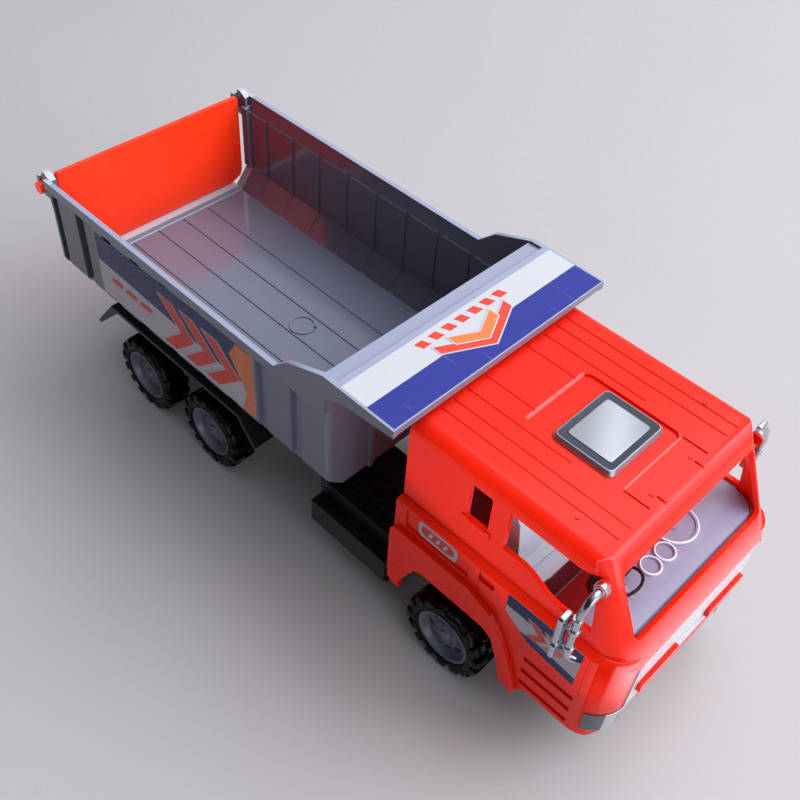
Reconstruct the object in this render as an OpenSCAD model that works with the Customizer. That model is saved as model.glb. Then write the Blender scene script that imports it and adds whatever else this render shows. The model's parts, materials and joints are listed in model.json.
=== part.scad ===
// Toy dump truck: cab-over tipper with three axles, a tilting bed and a swinging tailgate.
// Units are millimetres. +X is the front of the truck, +Y its left side, +Z up.
// The ground is z = 0 and the origin lies under the middle of the truck.

/* [Part shown] */
// one sub-part, or all of them together

/* [Dump bed] */
// width over the side rails
bed_w = 126; // [120:1:132]
// length of the tub from its open rear end to the front wall
bed_len = 198; // [186:1:210]
// height of the side rails above the ground
rail_z = 113.5; // [110:0.5:118]
// top of the canopy plate above the ground
canopy_z = 129.7; // [128:0.1:134]
// length of the canopy plate ahead of the front wall
canopy_reach = 37; // [34:0.5:40]
// top of the bed floor above the ground
bed_floor_z = 59.4; // [59:0.2:61]
// distance between two panel grooves on the outside
groove_pitch = 22; // [20:0.5:24]
// width of one outside panel groove
groove_w = 7; // [4:0.5:7.5]
// distance between two floor grooves
floor_groove_pitch = 16.2; // [14:0.2:18]

/* [Cab] */
// top of the roof above the ground
roof_z = 124; // [122:0.5:125]
// width of the cab at the windows
cab_upper_w = 101; // [100:0.5:103]
// width of the cab at the doors
cab_lower_w = 107; // [105:0.5:110]
// wall thickness of the cab shell
cab_wall = 2.2; // [1.8:0.1:2.4]
// lean of the windscreen from upright
screen_lean = 25; // [23:0.5:26]
// width of the windscreen opening
screen_w = 84; // [78:1:86]
// length of the roof hatch frame
hatch_len = 28.5; // [26:0.5:31]
// width of the roof hatch frame
hatch_w = 35; // [32:0.5:37]

/* [Wheels] */
// outside diameter of a tyre
wheel_d = 42; // [40:0.5:43]
// width of a tyre
tyre_w = 14; // [12:0.5:15]
// width over the outer faces of two opposite tyres
track_w = 118; // [116:0.5:121]
// distance between the two rear axles
rear_axle_gap = 53; // [51:0.5:56]
// diameter of an axle rod
axle_d = 3; // [2.6:0.1:3.4]
// number of tread blocks on one tyre
tread_blocks = 16; // [12:1:20]

/* [Hidden] */
$fn = 64;

// Places along the truck, x from its rear end
bed_rear = 10;                      // rear end of the tub, behind it only the hinge hooks
bed_front = bed_rear + bed_len;     // outer face of the front wall
canopy_front = bed_front + canopy_reach;
cab_rear = bed_front + 33;
cab_len = 111.5;                    // rear wall to nose of the lower cab
nose_x = cab_rear + cab_len;
truck_len = nose_x + 2.5;

// Wheels and axles
front_x = cab_rear + 36;
rear_x = bed_rear + 56.6;
middle_x = rear_x + rear_axle_gap;
axle_xs = [rear_x, middle_x, front_x];
wheel_r = wheel_d / 2;
rim_r = wheel_r * 0.67;
axle_r = axle_d / 2;

// Chassis beams
beam_inner_y = 13;
beam_outer_y = 19;
beam_top_z = 46;
pin_gap = 0.07;                     // clearance round the axles and the bed pin

// Dump bed
bed_half = bed_w / 2;
bed_wall = 2.5;                     // front wall and rails
wall_y = bed_half - 2;              // outer face of the side panels
inner_y = wall_y - 2.7;             // inner face of the side panels
floor_t = 2.4;
chamfer_z = 67;                     // top of the sloping lower edge
rail_under_z = rail_z - 5;          // underside of the side rails
hinge_x = bed_rear + 19;
hinge_z = 41;
hinge_pin_r = 2;
gate_pin_x = 4.4;
gate_pin_z = rail_z - 7.5;
gate_pin_r = 1.8;
gate_half = bed_half - 7.7;

// Cab, x from its rear wall
upper_half = cab_upper_w / 2;
lower_half = cab_lower_w / 2;
belt_z = 79;                        // where the lower cab steps in to the upper cab
roof_r = 8;                         // edge radius between roof and windscreen
// distance of the windscreen plane from the cab origin, square to the glass
screen_dist = cos(screen_lean) * 94 + sin(screen_lean) * 117;
// centre of the rounding between roof and windscreen
roof_edge_x = (screen_dist - roof_r - sin(screen_lean) * (roof_z - roof_r)) / cos(screen_lean);
clear_y = 60;                       // cutters reach this far out
hatch_x = 54.5;
hatch_z = roof_z - 1.1;             // floor of the tray round the hatch
mirror_x = 92;
mirror_z = 114;
panel_depth = 0.7;                  // recess of the quarter panels
cab_screw_xs = [7.5, cab_len - 9];
cab_screw_ys = [-32, 32];

sticker_t = 0.3;

// Colours
red = [0.90, 0.16, 0.09];
grey = [0.45, 0.48, 0.56];
lilac = [0.62, 0.60, 0.70];
black = [0.07, 0.07, 0.08];
silver = [0.78, 0.79, 0.82];
blue = [0.24, 0.28, 0.60];
seat_grey = [0.80, 0.80, 0.86];
soft_black = [0.12, 0.11, 0.13];
hatch_grey = [0.35, 0.37, 0.42];
lamp_grey = [0.30, 0.33, 0.37];
badge_pink = [0.85, 0.80, 0.80];
screw_grey = [0.6, 0.6, 0.6];
pin_grey = [0.6, 0.6, 0.62];
axle_grey = [0.7, 0.7, 0.72];
rim_grey = [0.55, 0.56, 0.60];

// ---- helpers -------------------------------------------------------------

// inside this module x is measured from the rear end of the truck
module at_rear() { translate([-truck_len / 2, 0, 0]) children(); }

// inside this module x is measured from the rear wall of the cab
module at_cab() { at_rear() translate([cab_rear, 0, 0]) children(); }

module both_sides() {
    children();
    mirror([0, 1, 0]) children();
}

// profile drawn in x-z, extruded across the truck from y0 to y1
module across(y0, y1) {
    translate([0, y1, 0]) rotate([90, 0, 0]) linear_extrude(height = y1 - y0) children();
}

// profile drawn in y-z, extruded along the truck from x0 to x1
module along(x0, x1) {
    translate([x0, 0, 0]) rotate([90, 0, 90]) linear_extrude(height = x1 - x0) children();
}

// rectangle between two corner points, all corners rounded
module rounded_rect(low, high, radius) {
    size = high - low;
    translate([low[0] + radius, low[1]]) square([size[0] - 2 * radius, size[1]]);
    translate([low[0], low[1] + radius]) square([size[0], size[1] - 2 * radius]);
    for (x = [low[0] + radius, high[0] - radius], y = [low[1] + radius, high[1] - radius])
        translate([x, y]) circle(radius);
}

// rectangle with only its two +x corners rounded
module nose_rect(x0, x1, half_w, radius) {
    translate([x0, -half_w]) square([x1 - radius - x0, 2 * half_w]);
    translate([x0, -half_w + radius]) square([x1 - x0, 2 * half_w - 2 * radius]);
    for (side = [-1, 1]) translate([x1 - radius, side * (half_w - radius)]) circle(radius);
}

// cylinder along y
module rod(radius, y0, y1) {
    translate([0, y0, 0]) rotate([-90, 0, 0]) cylinder(r = radius, h = y1 - y0);
}

// block between two corner points
module box(low, high) { translate(low) cube(high - low); }

// closes a half outline of [y, z] points with its mirror image
function mirrored(points) =
    concat(points, [for (i = [len(points) - 1:-1:0]) [-points[i][0], points[i][1]]]);

// ---- chassis -------------------------------------------------------------

module mudguard_profile() {
    polygon([[27, 33], [43, 53], [middle_x + 24, 53], [middle_x + 36, 39],
        [middle_x + 34.4, 37.7], [middle_x + 23, 51], [43.9, 51], [28.6, 31.8]]);
}

module mudguard() {
    post_xs = [50, (rear_x + middle_x) / 2 - 4, middle_x + 12];
    across(26, 58) mudguard_profile();
    // brackets between beam and mudguard
    for (x = post_xs) {
        box([x, 18, 38], [x + 8, 30, beam_top_z - 1]);
        box([x, 21, 38], [x + 8, 30, 51.5]);
    }
}

// outlines as [y, z] points
module side_box_profile() {
    polygon([[16, 30], [16, 13], [51, 13], [54, 16], [54, 30], [48, 30], [48, 41], [42, 41],
        [42, 46], [16, 46]]);
}

module side_box_hollow_profile() {
    polygon([[18, 28], [18, 12], [51, 12], [52, 16], [52, 28], [46, 28], [46, 39], [40, 39],
        [40, 44], [18, 44]]);
}

// stepped box behind the cab
module side_box() {
    box_rear = cab_rear - 51;
    box_front = cab_rear - 3;
    slot_pitch = 8.4;
    difference() {
        along(box_rear, box_front) side_box_profile();
        along(box_rear + 2, box_front - 2) side_box_hollow_profile();
        // tread slots in the lower step
        for (i = [0:4]) let (x = box_rear + 5 + i * slot_pitch) box([x, 49, 29], [x + 4, 53, 33]);
    }
    // raised bar along the top
    box([cab_rear - 30, 33, 45], [cab_rear - 10, 37, 48]);
    // block at the rear end
    box([box_rear, 16, 18], [box_rear + 5, 30, 40]);
}

module axle_bearing(x) {
    across(-40, 40) {
        translate([x, wheel_r]) circle(6);
        translate([x - 6, wheel_r]) square([12, 10]);
    }
    box([x - 8, -beam_outer_y, wheel_r + 6], [x + 8, beam_outer_y, 40]);
    // upright fins on top
    both_sides() box([x - 1.2, 18, wheel_r + 4], [x + 1.2, 40, wheel_r + 13]);
}

module chassis() {
    cross_member_xs = [24, 84, 160, cab_rear - 30, cab_rear + 5, nose_x - 20];
    color(black) at_rear() difference() {
        union() {
            both_sides() {
                box([22, beam_inner_y, 30], [nose_x - 10, beam_outer_y, beam_top_z]);
                mudguard();
                side_box();
            }
            for (x = cross_member_xs)
                box([x, -beam_inner_y - 1, 33], [x + 8, beam_inner_y + 1, 43]);
            for (x = axle_xs) axle_bearing(x);
            // deck below the cab
            box([cab_rear + 4, -46, 45], [nose_x - 5.5, 46, 48]);
            // tow hitch plate at the tail
            across(-8, 8) polygon([[14, 34], [14, 37], [24, 42], [24, 34]]);
        }
        for (x = axle_xs) translate([x, 0, wheel_r]) rod(axle_r + pin_gap, -41, 41);
        translate([hinge_x, 0, hinge_z])
            rod(hinge_pin_r + pin_gap, -beam_outer_y - 1, beam_outer_y + 1);
        // holes and head recesses for the cab screws
        translate([cab_rear, 0, 0]) at_cab_screws() {
            translate([0, 0, 44]) cylinder(r = 1.3, h = 5);
            translate([0, 0, 43]) cylinder(r = 2.8, h = 2.6);
        }
        // openings through the deck
        both_sides() box([cab_rear + 22, 22, 44], [cab_rear + 60, 40, 49]);
    }
}

// ---- cab bodies and outlines ---------------------------------------------
// All cab parts are drawn with x from the rear wall of the cab.
// inset shrinks a body by a wall thickness, bottom is the height of its lower end.

module at_cab_screws() {
    for (x = cab_screw_xs, y = cab_screw_ys) translate([x, y, 0]) children();
}

// upper cab seen from the side
module upper_side(inset, bottom) {
    radius = roof_r - inset;
    top = roof_z - inset;
    edge_z = roof_z - roof_r;
    polygon([[1 + inset, bottom], [1 + inset, top], [roof_edge_x, top], [roof_edge_x, edge_z],
        [roof_edge_x + radius * cos(screen_lean), edge_z + radius * sin(screen_lean)],
        [(screen_dist - inset - sin(screen_lean) * bottom) / cos(screen_lean), bottom]]);
    translate([roof_edge_x, edge_z]) circle(radius);
}

// upper cab seen from the front
module upper_front(inset) {
    corner_r = 7;
    bottom = 40;
    outer_y = upper_half - inset;
    corner_y = upper_half - corner_r;
    translate([-outer_y, bottom]) square([2 * outer_y, roof_z - corner_r - bottom]);
    translate([-corner_y, bottom]) square([2 * corner_y, roof_z - inset - bottom]);
    for (side = [-1, 1])
        translate([side * corner_y, roof_z - corner_r]) circle(corner_r - inset);
}

module upper_body(inset, bottom) {
    intersection() {
        across(-clear_y, clear_y) upper_side(inset, bottom);
        along(-5, cab_len + 5) upper_front(inset);
        // rounds the upright corners beside the windscreen
        rotate([0, -screen_lean, 0]) translate([0, 0, -40]) linear_extrude(height = 180)
            nose_rect(screen_dist - inset - 150, screen_dist - inset, upper_half - inset,
                12 - inset);
    }
}

module lower_body(inset, bottom) {
    front = cab_len - inset;
    shoulder_z = belt_z + 1.5;
    intersection() {
        across(-clear_y, clear_y)
            polygon([[inset, bottom], [inset, belt_z], [1 + inset, shoulder_z],
                [front - 0.7, shoulder_z], [front, belt_z], [front, 33], [front - 6, 25],
                [front - 6, bottom]]);
        along(-5, cab_len + 5)
            polygon(mirrored([[lower_half - inset, bottom], [lower_half - inset, belt_z - 1],
                [upper_half - inset + 0.4, shoulder_z]]));
        translate([0, 0, bottom - 1]) linear_extrude(height = 100)
            nose_rect(-5, front, lower_half - inset, 14 - inset);
    }
}

// Side outlines, as [x, z] points

// wheel arch, running on under the nose
module arch_profile() {
    polygon([[5.5, 10], [5.5, 26], [14, 44], [18, 46], [52, 46], [57, 43.5], [61.5, 33],
        [65, 20], [72, 20], [77, 25.5], [cab_len + 5, 25.5], [cab_len + 5, 10]]);
}

module flare_profile() {
    difference() {
        polygon([[-0.3, 25], [-0.3, 61], [2, 63.5], [42, 63.5], [55, 58.5], [64, 46], [71, 30],
            [73, 21], [65, 20]]);
        arch_profile();
    }
}

module flare_outer_profile() {
    difference() {
        flare_profile();
        polygon([[-1, 10], [-1, 30], [8.5, 50.5], [16, 53.5], [50, 53.5], [58.5, 49.5],
            [66.5, 37], [69.3, 25], [69.3, 10]]);
    }
}

module door_window_profile() {
    polygon([[51, 94.5], [51, 116], [89.5, 116], [93.5, 87.5], [78, 87.5], [74, 88.5],
        [65.5, 93.5], [62, 94.5]]);
}

module quarter_panel_profile() {
    polygon([[6, 67], [6, 77.5], [37, 77.5], [40, 74], [40, 67]]);
}

// height above the ground as a distance up the windscreen plane
function up_screen(z) = (z - screen_dist * sin(screen_lean)) / cos(screen_lean);

module screen_opening() {
    rotate([0, -screen_lean, 0]) translate([screen_dist - 9, 0, 0]) rotate([90, 0, 90])
        linear_extrude(height = 20)
            rounded_rect([-screen_w / 2, up_screen(88)], [screen_w / 2, up_screen(116.2)], 2.5);
}

// left headlight on the front corner; outset stands it proud, gap shrinks its outline
module headlight_block(outset, gap = 0) {
    intersection() {
        difference() {
            lower_body(-outset, 20);
            lower_body(1.1, 15);
        }
        box([cab_len - 8.5 + gap, 30 + gap, 31 + gap], [cab_len + 5, clear_y, 43 - gap]);
    }
}

// grille field on the nose, front is measured from the nose
module grille_block(front, gap = 0) {
    box([cab_len - 1, -40 + gap, 44 + gap], [cab_len + front, 40 - gap, 77 - gap]);
}

// the two bars on the nose, x0 and x1 are measured from the nose
module nose_bars(x0, x1, gap = 0) {
    both_sides()
        box([cab_len + x0, 11 - gap, 52.5 - gap], [cab_len + x1, 36 + gap, 57.5 + gap]);
}

// rounded slab centred on the hatch, inset from the outline of the hatch frame
module hatch_slab(bottom, height, inset, radius) {
    corner = [hatch_len / 2, hatch_w / 2] - inset;
    translate([hatch_x, 0, bottom]) linear_extrude(height = height)
        rounded_rect(-corner, corner, radius);
}

// ---- cab shell -----------------------------------------------------------

module hollow_cab() {
    difference() {
        union() {
            upper_body(0, 76);
            lower_body(0, 20);
        }
        upper_body(cab_wall, belt_z);
        lower_body(cab_wall, 10);
        across(-clear_y, clear_y) arch_profile();
    }
}

// bosses for the cab screws, each tied to the wall by a web
module cab_bosses() {
    boss_r = 3.4;
    bottom = 48;
    rear_x = cab_screw_xs[0];
    front_x = cab_screw_xs[1];
    for (y = cab_screw_ys) {
        translate([rear_x, y, bottom]) cylinder(r = boss_r, h = 18);
        box([1.5, y - 1, bottom], [rear_x, y + 1, bottom + 18]);
        translate([front_x, y, bottom]) cylinder(r = boss_r, h = 15);
        box([front_x, y - 1, bottom], [cab_len - 1.5, y + 1, bottom + 15]);
    }
}

// parts added to each side
module cab_side_additions() {
    // fender flare: a wide band with a prouder band along its outer edge
    across(lower_half - 1.5, lower_half + 1.5) flare_profile();
    across(lower_half - 1.5, lower_half + 2.3) flare_outer_profile();
    // ledge at the bottom of the rear side window
    across(upper_half - 0.6, upper_half + 0.7)
        polygon([[30.5, 94], [30.5, 97], [44.5, 97], [44.5, 94]]);
    // small pips on the roof
    translate([82.6, 12.6, roof_z - 1]) cylinder(r = 1, h = 1.4);
    translate([71, 40, roof_z - 1]) cylinder(r = 1, h = 1.5);
    // collar of the mirror arm
    translate([mirror_x, 0, mirror_z]) rod(2.6, upper_half - 2, upper_half + 1.6);
}

// grooves on each half of the roof: start x, end x, low y, high y, depth
roof_grooves = [
    [4, roof_edge_x + 1, 30.1, 31.9, 0.35],
    [4, roof_edge_x + 1, 36.9, 38.7, 0.35],
    [4, 54.5, 22.1, 23.9, 0.35],
    [4, 30, 11.6, 13.4, 0.35],
    // short ones in front of the hatch
    [75, 86, 18.1, 19.2, 0.6],
    [84.6, 89.5, 11.4, 12.5, 0.8]
];

// cuts made in each side
module cab_side_cuts() {
    across(40, clear_y) {
        rounded_rect([32.5, 96], [43, 116], 1.2);
        door_window_profile();
    }
    across(lower_half - panel_depth, clear_y) quarter_panel_profile();
    // gaps behind and in front of the door: x and bottom
    for (gap = [[45.4, 64.5], [98, 52]])
        box([gap[0], lower_half - 0.25, gap[1]], [gap[0] + 1.2, clear_y, belt_z - 1.5]);
    // door handle recess
    across(lower_half - 1.1, clear_y) rounded_rect([45, 71], [53, 75.5], 1);
    // step grooves low down behind the front corner
    for (z = [29.5, 38, 46.5])
        box([73, lower_half - 1, z - 1.4], [97, clear_y, z + 1.4]);
    for (groove = roof_grooves)
        box([groove[0], groove[2], roof_z - groove[4]], [groove[1], groove[3], roof_z + 2]);
    // socket for the mirror arm
    translate([mirror_x, 0, mirror_z]) rod(1.5, upper_half - 1, upper_half + 3);
    // headlight pocket
    headlight_block(3);
}

module cab_shell() {
    color(red) at_cab() difference() {
        union() {
            hollow_cab();
            both_sides() cab_side_additions();
            cab_bosses();
            nose_bars(-1.5, 2.5);
        }
        both_sides() cab_side_cuts();
        screen_opening();
        // way through the rear wall for the chassis beams
        box([-3, -22, 10], [3.5, 22, 49]);
        // shallow tray round the hatch and the way through for the hatch collar
        translate([0, 0, hatch_z]) linear_extrude(height = 4)
            rounded_rect([29.4, -19.6], [74.4, 19.6], 3.6);
        hatch_slab(roof_z - 6, 8, [2.5, 2.5], 1.5);
        // grille recess, leaving the two bars
        difference() {
            grille_block(3);
            nose_bars(-2, 4);
        }
        // screw pilot holes
        at_cab_screws() translate([0, 0, 47]) cylinder(r = 1, h = 13);
    }
}

// ---- cab inside ----------------------------------------------------------

// foot of the steering column, z along the column
module at_steering() {
    translate([90.9, -27, 83]) rotate([0, -30, 0]) children();
}

big_dial = [86, 13];
small_dials = [[91.6, -0.8], [91.6, -10.2]];

// block that holds seats and dashboard, before the seat well is cut
module interior_profile() {
    polygon([[12, 48], [12, 84], [73, 84], [76, 86], [cab_len - 7.5, 86], [cab_len - 6, 84],
        [cab_len - 6, 66], [cab_len - 15, 64], [cab_len - 15, 48]]);
}

module interior_body() {
    outer_y = upper_half - cab_wall - 0.6;
    well_y = outer_y - 2;
    corner_x = cab_len - 18;
    difference() {
        across(-outer_y, outer_y) interior_profile();
        // seat well
        box([14, -well_y, 50], [74, well_y, 100]);
        // rounded front corners of the dashboard
        both_sides() difference() {
            box([corner_x, upper_half - 14, 47], [cab_len, upper_half + 1, 100]);
            translate([corner_x, upper_half - 15, 40]) cylinder(r = 11.4, h = 70);
        }
    }
}

module cab_interior() {
    dial_z = 85;
    recess_z = 86.4;
    color(lilac) at_cab() difference() {
        union() {
            interior_body();
            // raised dials on the dashboard
            translate([big_dial[0], big_dial[1], dial_z]) cylinder(r = 10, h = 2.4);
            for (dial = small_dials)
                translate([dial[0], dial[1], dial_z]) cylinder(r = 4.3, h = 2.2);
            // centre console
            box([32, -6, 49], [75, 6, 62]);
            // steering column
            at_steering() cylinder(r = 3, h = 5.5);
        }
        // room for the lower half of the steering wheel
        at_steering() translate([0, 0, 5.2]) cylinder(r = 11.4, h = 20);
        // ring sunk into the big dial, round recesses in the small ones
        translate([big_dial[0], big_dial[1], recess_z]) difference() {
            cylinder(r = 8.6, h = 3);
            translate([0, 0, -1]) cylinder(r = 3.4, h = 6);
        }
        for (dial = small_dials)
            translate([dial[0], dial[1], recess_z]) cylinder(r = 3.4, h = 3);
        // hole for the steering stem
        at_steering() translate([0, 0, 2]) cylinder(r = 1.3, h = 8);
    }
}

// seat from the side, x from 27 mm ahead of the rear wall
module seat_profile() {
    polygon([[14, 50], [14, 62], [17, 65], [13, 88], [14, 98], [19, 99], [22, 95], [25, 72],
        [27, 69.5], [43, 71], [45, 68], [45, 62], [42, 60], [42, 50]]);
}

module seats() {
    color(seat_grey) at_cab() translate([27, 0, 0]) both_sides() difference() {
        across(9, 38) seat_profile();
        // hollows in the backrest and the cushion
        across(14, 33) {
            polygon([[21.8, 94], [24.2, 77], [25.5, 77], [24.5, 94]]);
            polygon([[29, 71], [42, 72.2], [42, 69.6], [29, 68.4]]);
        }
    }
}

module steering_wheel() {
    color(soft_black) at_cab() at_steering() {
        // rim, hub, stem and three spokes
        translate([0, 0, 6.8]) rotate_extrude() translate([9.5, 0]) circle(0.95);
        translate([0, 0, 5.8]) cylinder(r = 2.6, h = 2);
        translate([0, 0, 2.6]) cylinder(r = 1.25, h = 4);
        for (angle = [90, 210, 330])
            rotate([0, 0, angle]) translate([2, -0.8, 6.1]) cube([7, 1.6, 1.2]);
    }
}

// ---- roof hatch ----------------------------------------------------------

hatch_stem_ys = [-7, 7];
hatch_seat_z = hatch_z + 1.8;

module roof_hatch_frame() {
    color(hatch_grey) at_cab() difference() {
        union() {
            hatch_slab(hatch_z, 1.6, [0, 0], 3);
            hatch_slab(hatch_z + 1.5, 0.9, [0.7, 0.7], 2.4);
            // collar down through the roof
            hatch_slab(hatch_z - 3.4, 4, [2.6, 2.6], 1.4);
        }
        // hollow below
        hatch_slab(hatch_z - 5, 5.2, [4, 4], 1);
        // seat for the plate and its two stems
        hatch_slab(hatch_seat_z, 3, [3.4, 3.9], 1.8);
        for (y = hatch_stem_ys) translate([hatch_x, y, hatch_z - 4]) cylinder(r = 1.5, h = 8);
    }
}

module roof_hatch_plate() {
    color(silver) at_cab() {
        hatch_slab(hatch_seat_z, 1.2, [3.5, 4], 1.7);
        for (y = hatch_stem_ys)
            translate([hatch_x, y, hatch_z - 1.5]) cylinder(r = 1.4, h = 3.8);
    }
}

// ---- mirrors -------------------------------------------------------------

// left mirror
module mirror_side() {
    arm_r = 1.5;
    joint_r = 1.75;
    elbow_y = upper_half + 5.5;
    drop_y = upper_half + 9.5;
    drop_top = 104;
    drop_bottom = 80.5;
    shoulder = [drop_y - elbow_y, mirror_z - drop_top];
    // stem in the collar, bent shoulder, then the long drop
    translate([mirror_x, 0, mirror_z]) rod(1.4, upper_half - 0.9, elbow_y);
    translate([mirror_x, elbow_y, mirror_z]) {
        sphere(r = joint_r);
        rotate([180 + atan(shoulder[0] / shoulder[1]), 0, 0])
            cylinder(r = arm_r, h = norm(shoulder));
    }
    translate([mirror_x, drop_y, drop_top]) sphere(r = joint_r);
    translate([mirror_x, drop_y, drop_bottom]) cylinder(r = arm_r, h = drop_top - drop_bottom);
    // head behind the arm, held by two clips
    along(mirror_x - 5.4, mirror_x - 2.2) rounded_rect([drop_y - 1.6, 83], [drop_y + 7, 110], 2);
    for (z = [87, 98]) {
        box([mirror_x - 3, drop_y - 0.9, z - 1], [mirror_x, drop_y + 0.9, z + 1]);
        translate([mirror_x, drop_y, z - 1.3]) cylinder(r = 1.9, h = 2.6);
    }
}

module mirror_left() { color(silver) at_cab() mirror_side(); }

module mirror_right() { color(silver) at_cab() mirror([0, 1, 0]) mirror_side(); }

// ---- lamps, grille, cab stickers, screws ---------------------------------

module headlights() {
    color(lamp_grey) at_cab() both_sides() headlight_block(0.5, gap = 0.1);
}

module front_grille() {
    slot_zs = [46.5, 49.6, 60.5, 65.0, 69.5, 74.0];
    color(silver) at_cab() difference() {
        grille_block(0.6, gap = 0.1);
        nose_bars(-2, 3, gap = 0.1);
        for (z = slot_zs) box([cab_len - 0.2, -37, z], [cab_len + 2, 37, z + 1.5]);
    }
}

module door_stickers() {
    color(blue) at_cab() both_sides() across(lower_half, lower_half + sticker_t)
        polygon([[60, 77.8], [60, 67], [73, 58], [95, 55.5], [95.5, 77.8]]);
}

// badges on the recessed quarter panels
module cab_badges() {
    panel_y = lower_half - panel_depth;
    color(badge_pink) at_cab() both_sides() across(panel_y, panel_y + sticker_t)
        rounded_rect([12.5, 68], [33.5, 76.8], 2.5);
}

module cab_screws() {
    color(screw_grey) at_cab() at_cab_screws() difference() {
        union() {
            translate([0, 0, 44.1]) cylinder(r = 2.5, h = 1.5);
            translate([0, 0, 45.5]) cylinder(r = 1, h = 12.5);
        }
        // cross slot in the head
        for (angle = [0, 90])
            translate([0, 0, 43.7]) rotate([0, 0, angle])
                translate([-1.6, -0.3, 0]) cube([3.2, 0.6, 1]);
    }
}

// ---- dump bed ------------------------------------------------------------

// cross-sections of the tub as [y, z] points, drawn for the left half
module tub_outer() {
    radius = 4.5;
    turn = [for (angle = [-60:15:0])
        [wall_y - radius + radius * cos(angle), chamfer_z + radius * sin(angle)]];
    polygon(mirrored(concat([[52, bed_floor_z - floor_t]], turn,
        [[wall_y, rail_under_z], [bed_half, rail_under_z], [bed_half, rail_z]])));
}

module tub_inner() {
    lip_y = bed_half - bed_wall;
    polygon(mirrored([[49.6, bed_floor_z], [inner_y, chamfer_z + 3], [inner_y, rail_z - 8.6],
        [inner_y + 0.8, rail_z - 8], [lip_y, rail_z], [lip_y, rail_z + 30]]));
}

// outer and inner plan of the tub as tall blocks, rounded at the front
module tub_plan_outer() {
    linear_extrude(height = 200) nose_rect(bed_rear - 1, bed_front, bed_half, 6);
}

module tub_plan_inner() {
    linear_extrude(height = 200)
        nose_rect(bed_rear - 5, bed_front - bed_wall, bed_half - bed_wall, 3.5);
}

module tub() {
    difference() {
        intersection() {
            along(bed_rear, bed_front) tub_outer();
            tub_plan_outer();
        }
        intersection() {
            along(bed_rear - 1, bed_front - bed_wall) tub_inner();
            tub_plan_inner();
        }
    }
}

// Canopy outlines, as [x, z] points

// rise from the side rail up to the canopy
module hump_profile() {
    polygon([[bed_front - 30, rail_under_z], [bed_front - 30, rail_z],
        [bed_front - 21, rail_z + 8.3], [bed_front - 1, canopy_z], [bed_front + 10, canopy_z],
        [bed_front + 10, canopy_z - 7], [bed_front, canopy_z - 12], [bed_front, rail_under_z]]);
}

module canopy_profile() {
    wall_x = bed_front - bed_wall;
    polygon([[wall_x, canopy_z - 9], [wall_x, canopy_z - 1.6], [bed_front + 4, canopy_z - 1.2],
        [bed_front + 5, canopy_z], [canopy_front, canopy_z], [canopy_front, canopy_z - 3.4],
        [bed_front + 9, canopy_z - 5.5], [bed_front + 6, canopy_z - 9]]);
}

// skirt along both edges of the canopy
module canopy_edge_profile() {
    polygon([[bed_front - 1, canopy_z], [canopy_front, canopy_z], [canopy_front, canopy_z - 4],
        [bed_front + 10, canopy_z - 7], [bed_front - 1, canopy_z - 12]]);
}

module canopy() {
    // front wall up to the canopy
    box([bed_front - bed_wall, -bed_half + 6, rail_under_z],
        [bed_front, bed_half - 6, canopy_z - 3]);
    across(-bed_half + 1, bed_half - 1) canopy_profile();
    both_sides() {
        across(bed_half - bed_wall, bed_half) {
            hump_profile();
            canopy_edge_profile();
        }
        // corner column below the canopy
        intersection() {
            box([bed_front - 6, bed_half - 8.5, rail_z - 6], [bed_front, bed_half, canopy_z - 4]);
            difference() {
                tub_plan_outer();
                tub_plan_inner();
            }
        }
    }
    // ribs on the front wall
    for (y = [-36.5, 0, 36.5])
        across(y - 1, y + 1)
            polygon([[bed_front - 1, bed_floor_z - 2], [bed_front + 2, bed_floor_z - 2],
                [bed_front + 3, canopy_z - 9], [bed_front - 1, canopy_z - 6]]);
}

// sill across the open rear end, as [x, z] points
module rear_sill() {
    top = bed_floor_z + 2.1;
    bottom = bed_floor_z - 1.4;
    across(-49, 49)
        polygon([[bed_rear - 1.8, bottom], [bed_rear - 1.8, top], [bed_rear + 3.6, top],
            [bed_rear + 5.2, bottom]]);
}

module rear_post() {
    along(bed_rear, bed_rear + 4.5)
        polygon([[bed_half - 6.2, 71], [bed_half - 6.2, rail_z - 6.5], [bed_half - 3, rail_z - 5],
            [bed_half - 1.5, rail_z - 6], [bed_half - 3, 70]]);
}

// hook that carries the tailgate pin, open at the top
module gate_hook() {
    hook_r = 4.4;
    slot_half = 1.3;
    prong_half = 1.7;
    prong_foot_z = gate_pin_z + 2;
    difference() {
        across(bed_half - 5.5, bed_half - 2) {
            translate([gate_pin_x, gate_pin_z]) circle(hook_r);
            translate([gate_pin_x, gate_pin_z - hook_r])
                square([bed_rear + 2 - gate_pin_x, 2 * hook_r]);
            // rear prong
            polygon([[gate_pin_x - hook_r, gate_pin_z], [gate_pin_x - 4.2, rail_z - 2.5],
                [gate_pin_x - prong_half, rail_z - 2.5], [gate_pin_x - slot_half, prong_foot_z]]);
            // front prong
            polygon([[gate_pin_x + slot_half, prong_foot_z],
                [gate_pin_x + prong_half, rail_z + 2], [gate_pin_x + 4.6, rail_z + 2],
                [bed_rear + 3, rail_z - 0.5], [bed_rear + 3, gate_pin_z]]);
        }
        translate([gate_pin_x, 0, gate_pin_z]) rod(gate_pin_r + 0.08, bed_half - 8, bed_half + 1);
        box([gate_pin_x - slot_half, bed_half - 8, gate_pin_z],
            [gate_pin_x + slot_half, bed_half + 1, rail_z + 5]);
    }
}

// lug below the floor that takes the pivot pin
module hinge_lug() {
    lug_r = 5;
    difference() {
        across(19.6, 24) {
            translate([hinge_x, hinge_z]) circle(lug_r);
            translate([hinge_x - lug_r, hinge_z])
                square([2 * lug_r, bed_floor_z - hinge_z - 1]);
        }
        translate([hinge_x, 0, hinge_z]) rod(hinge_pin_r, 19, 25);
    }
}

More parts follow.
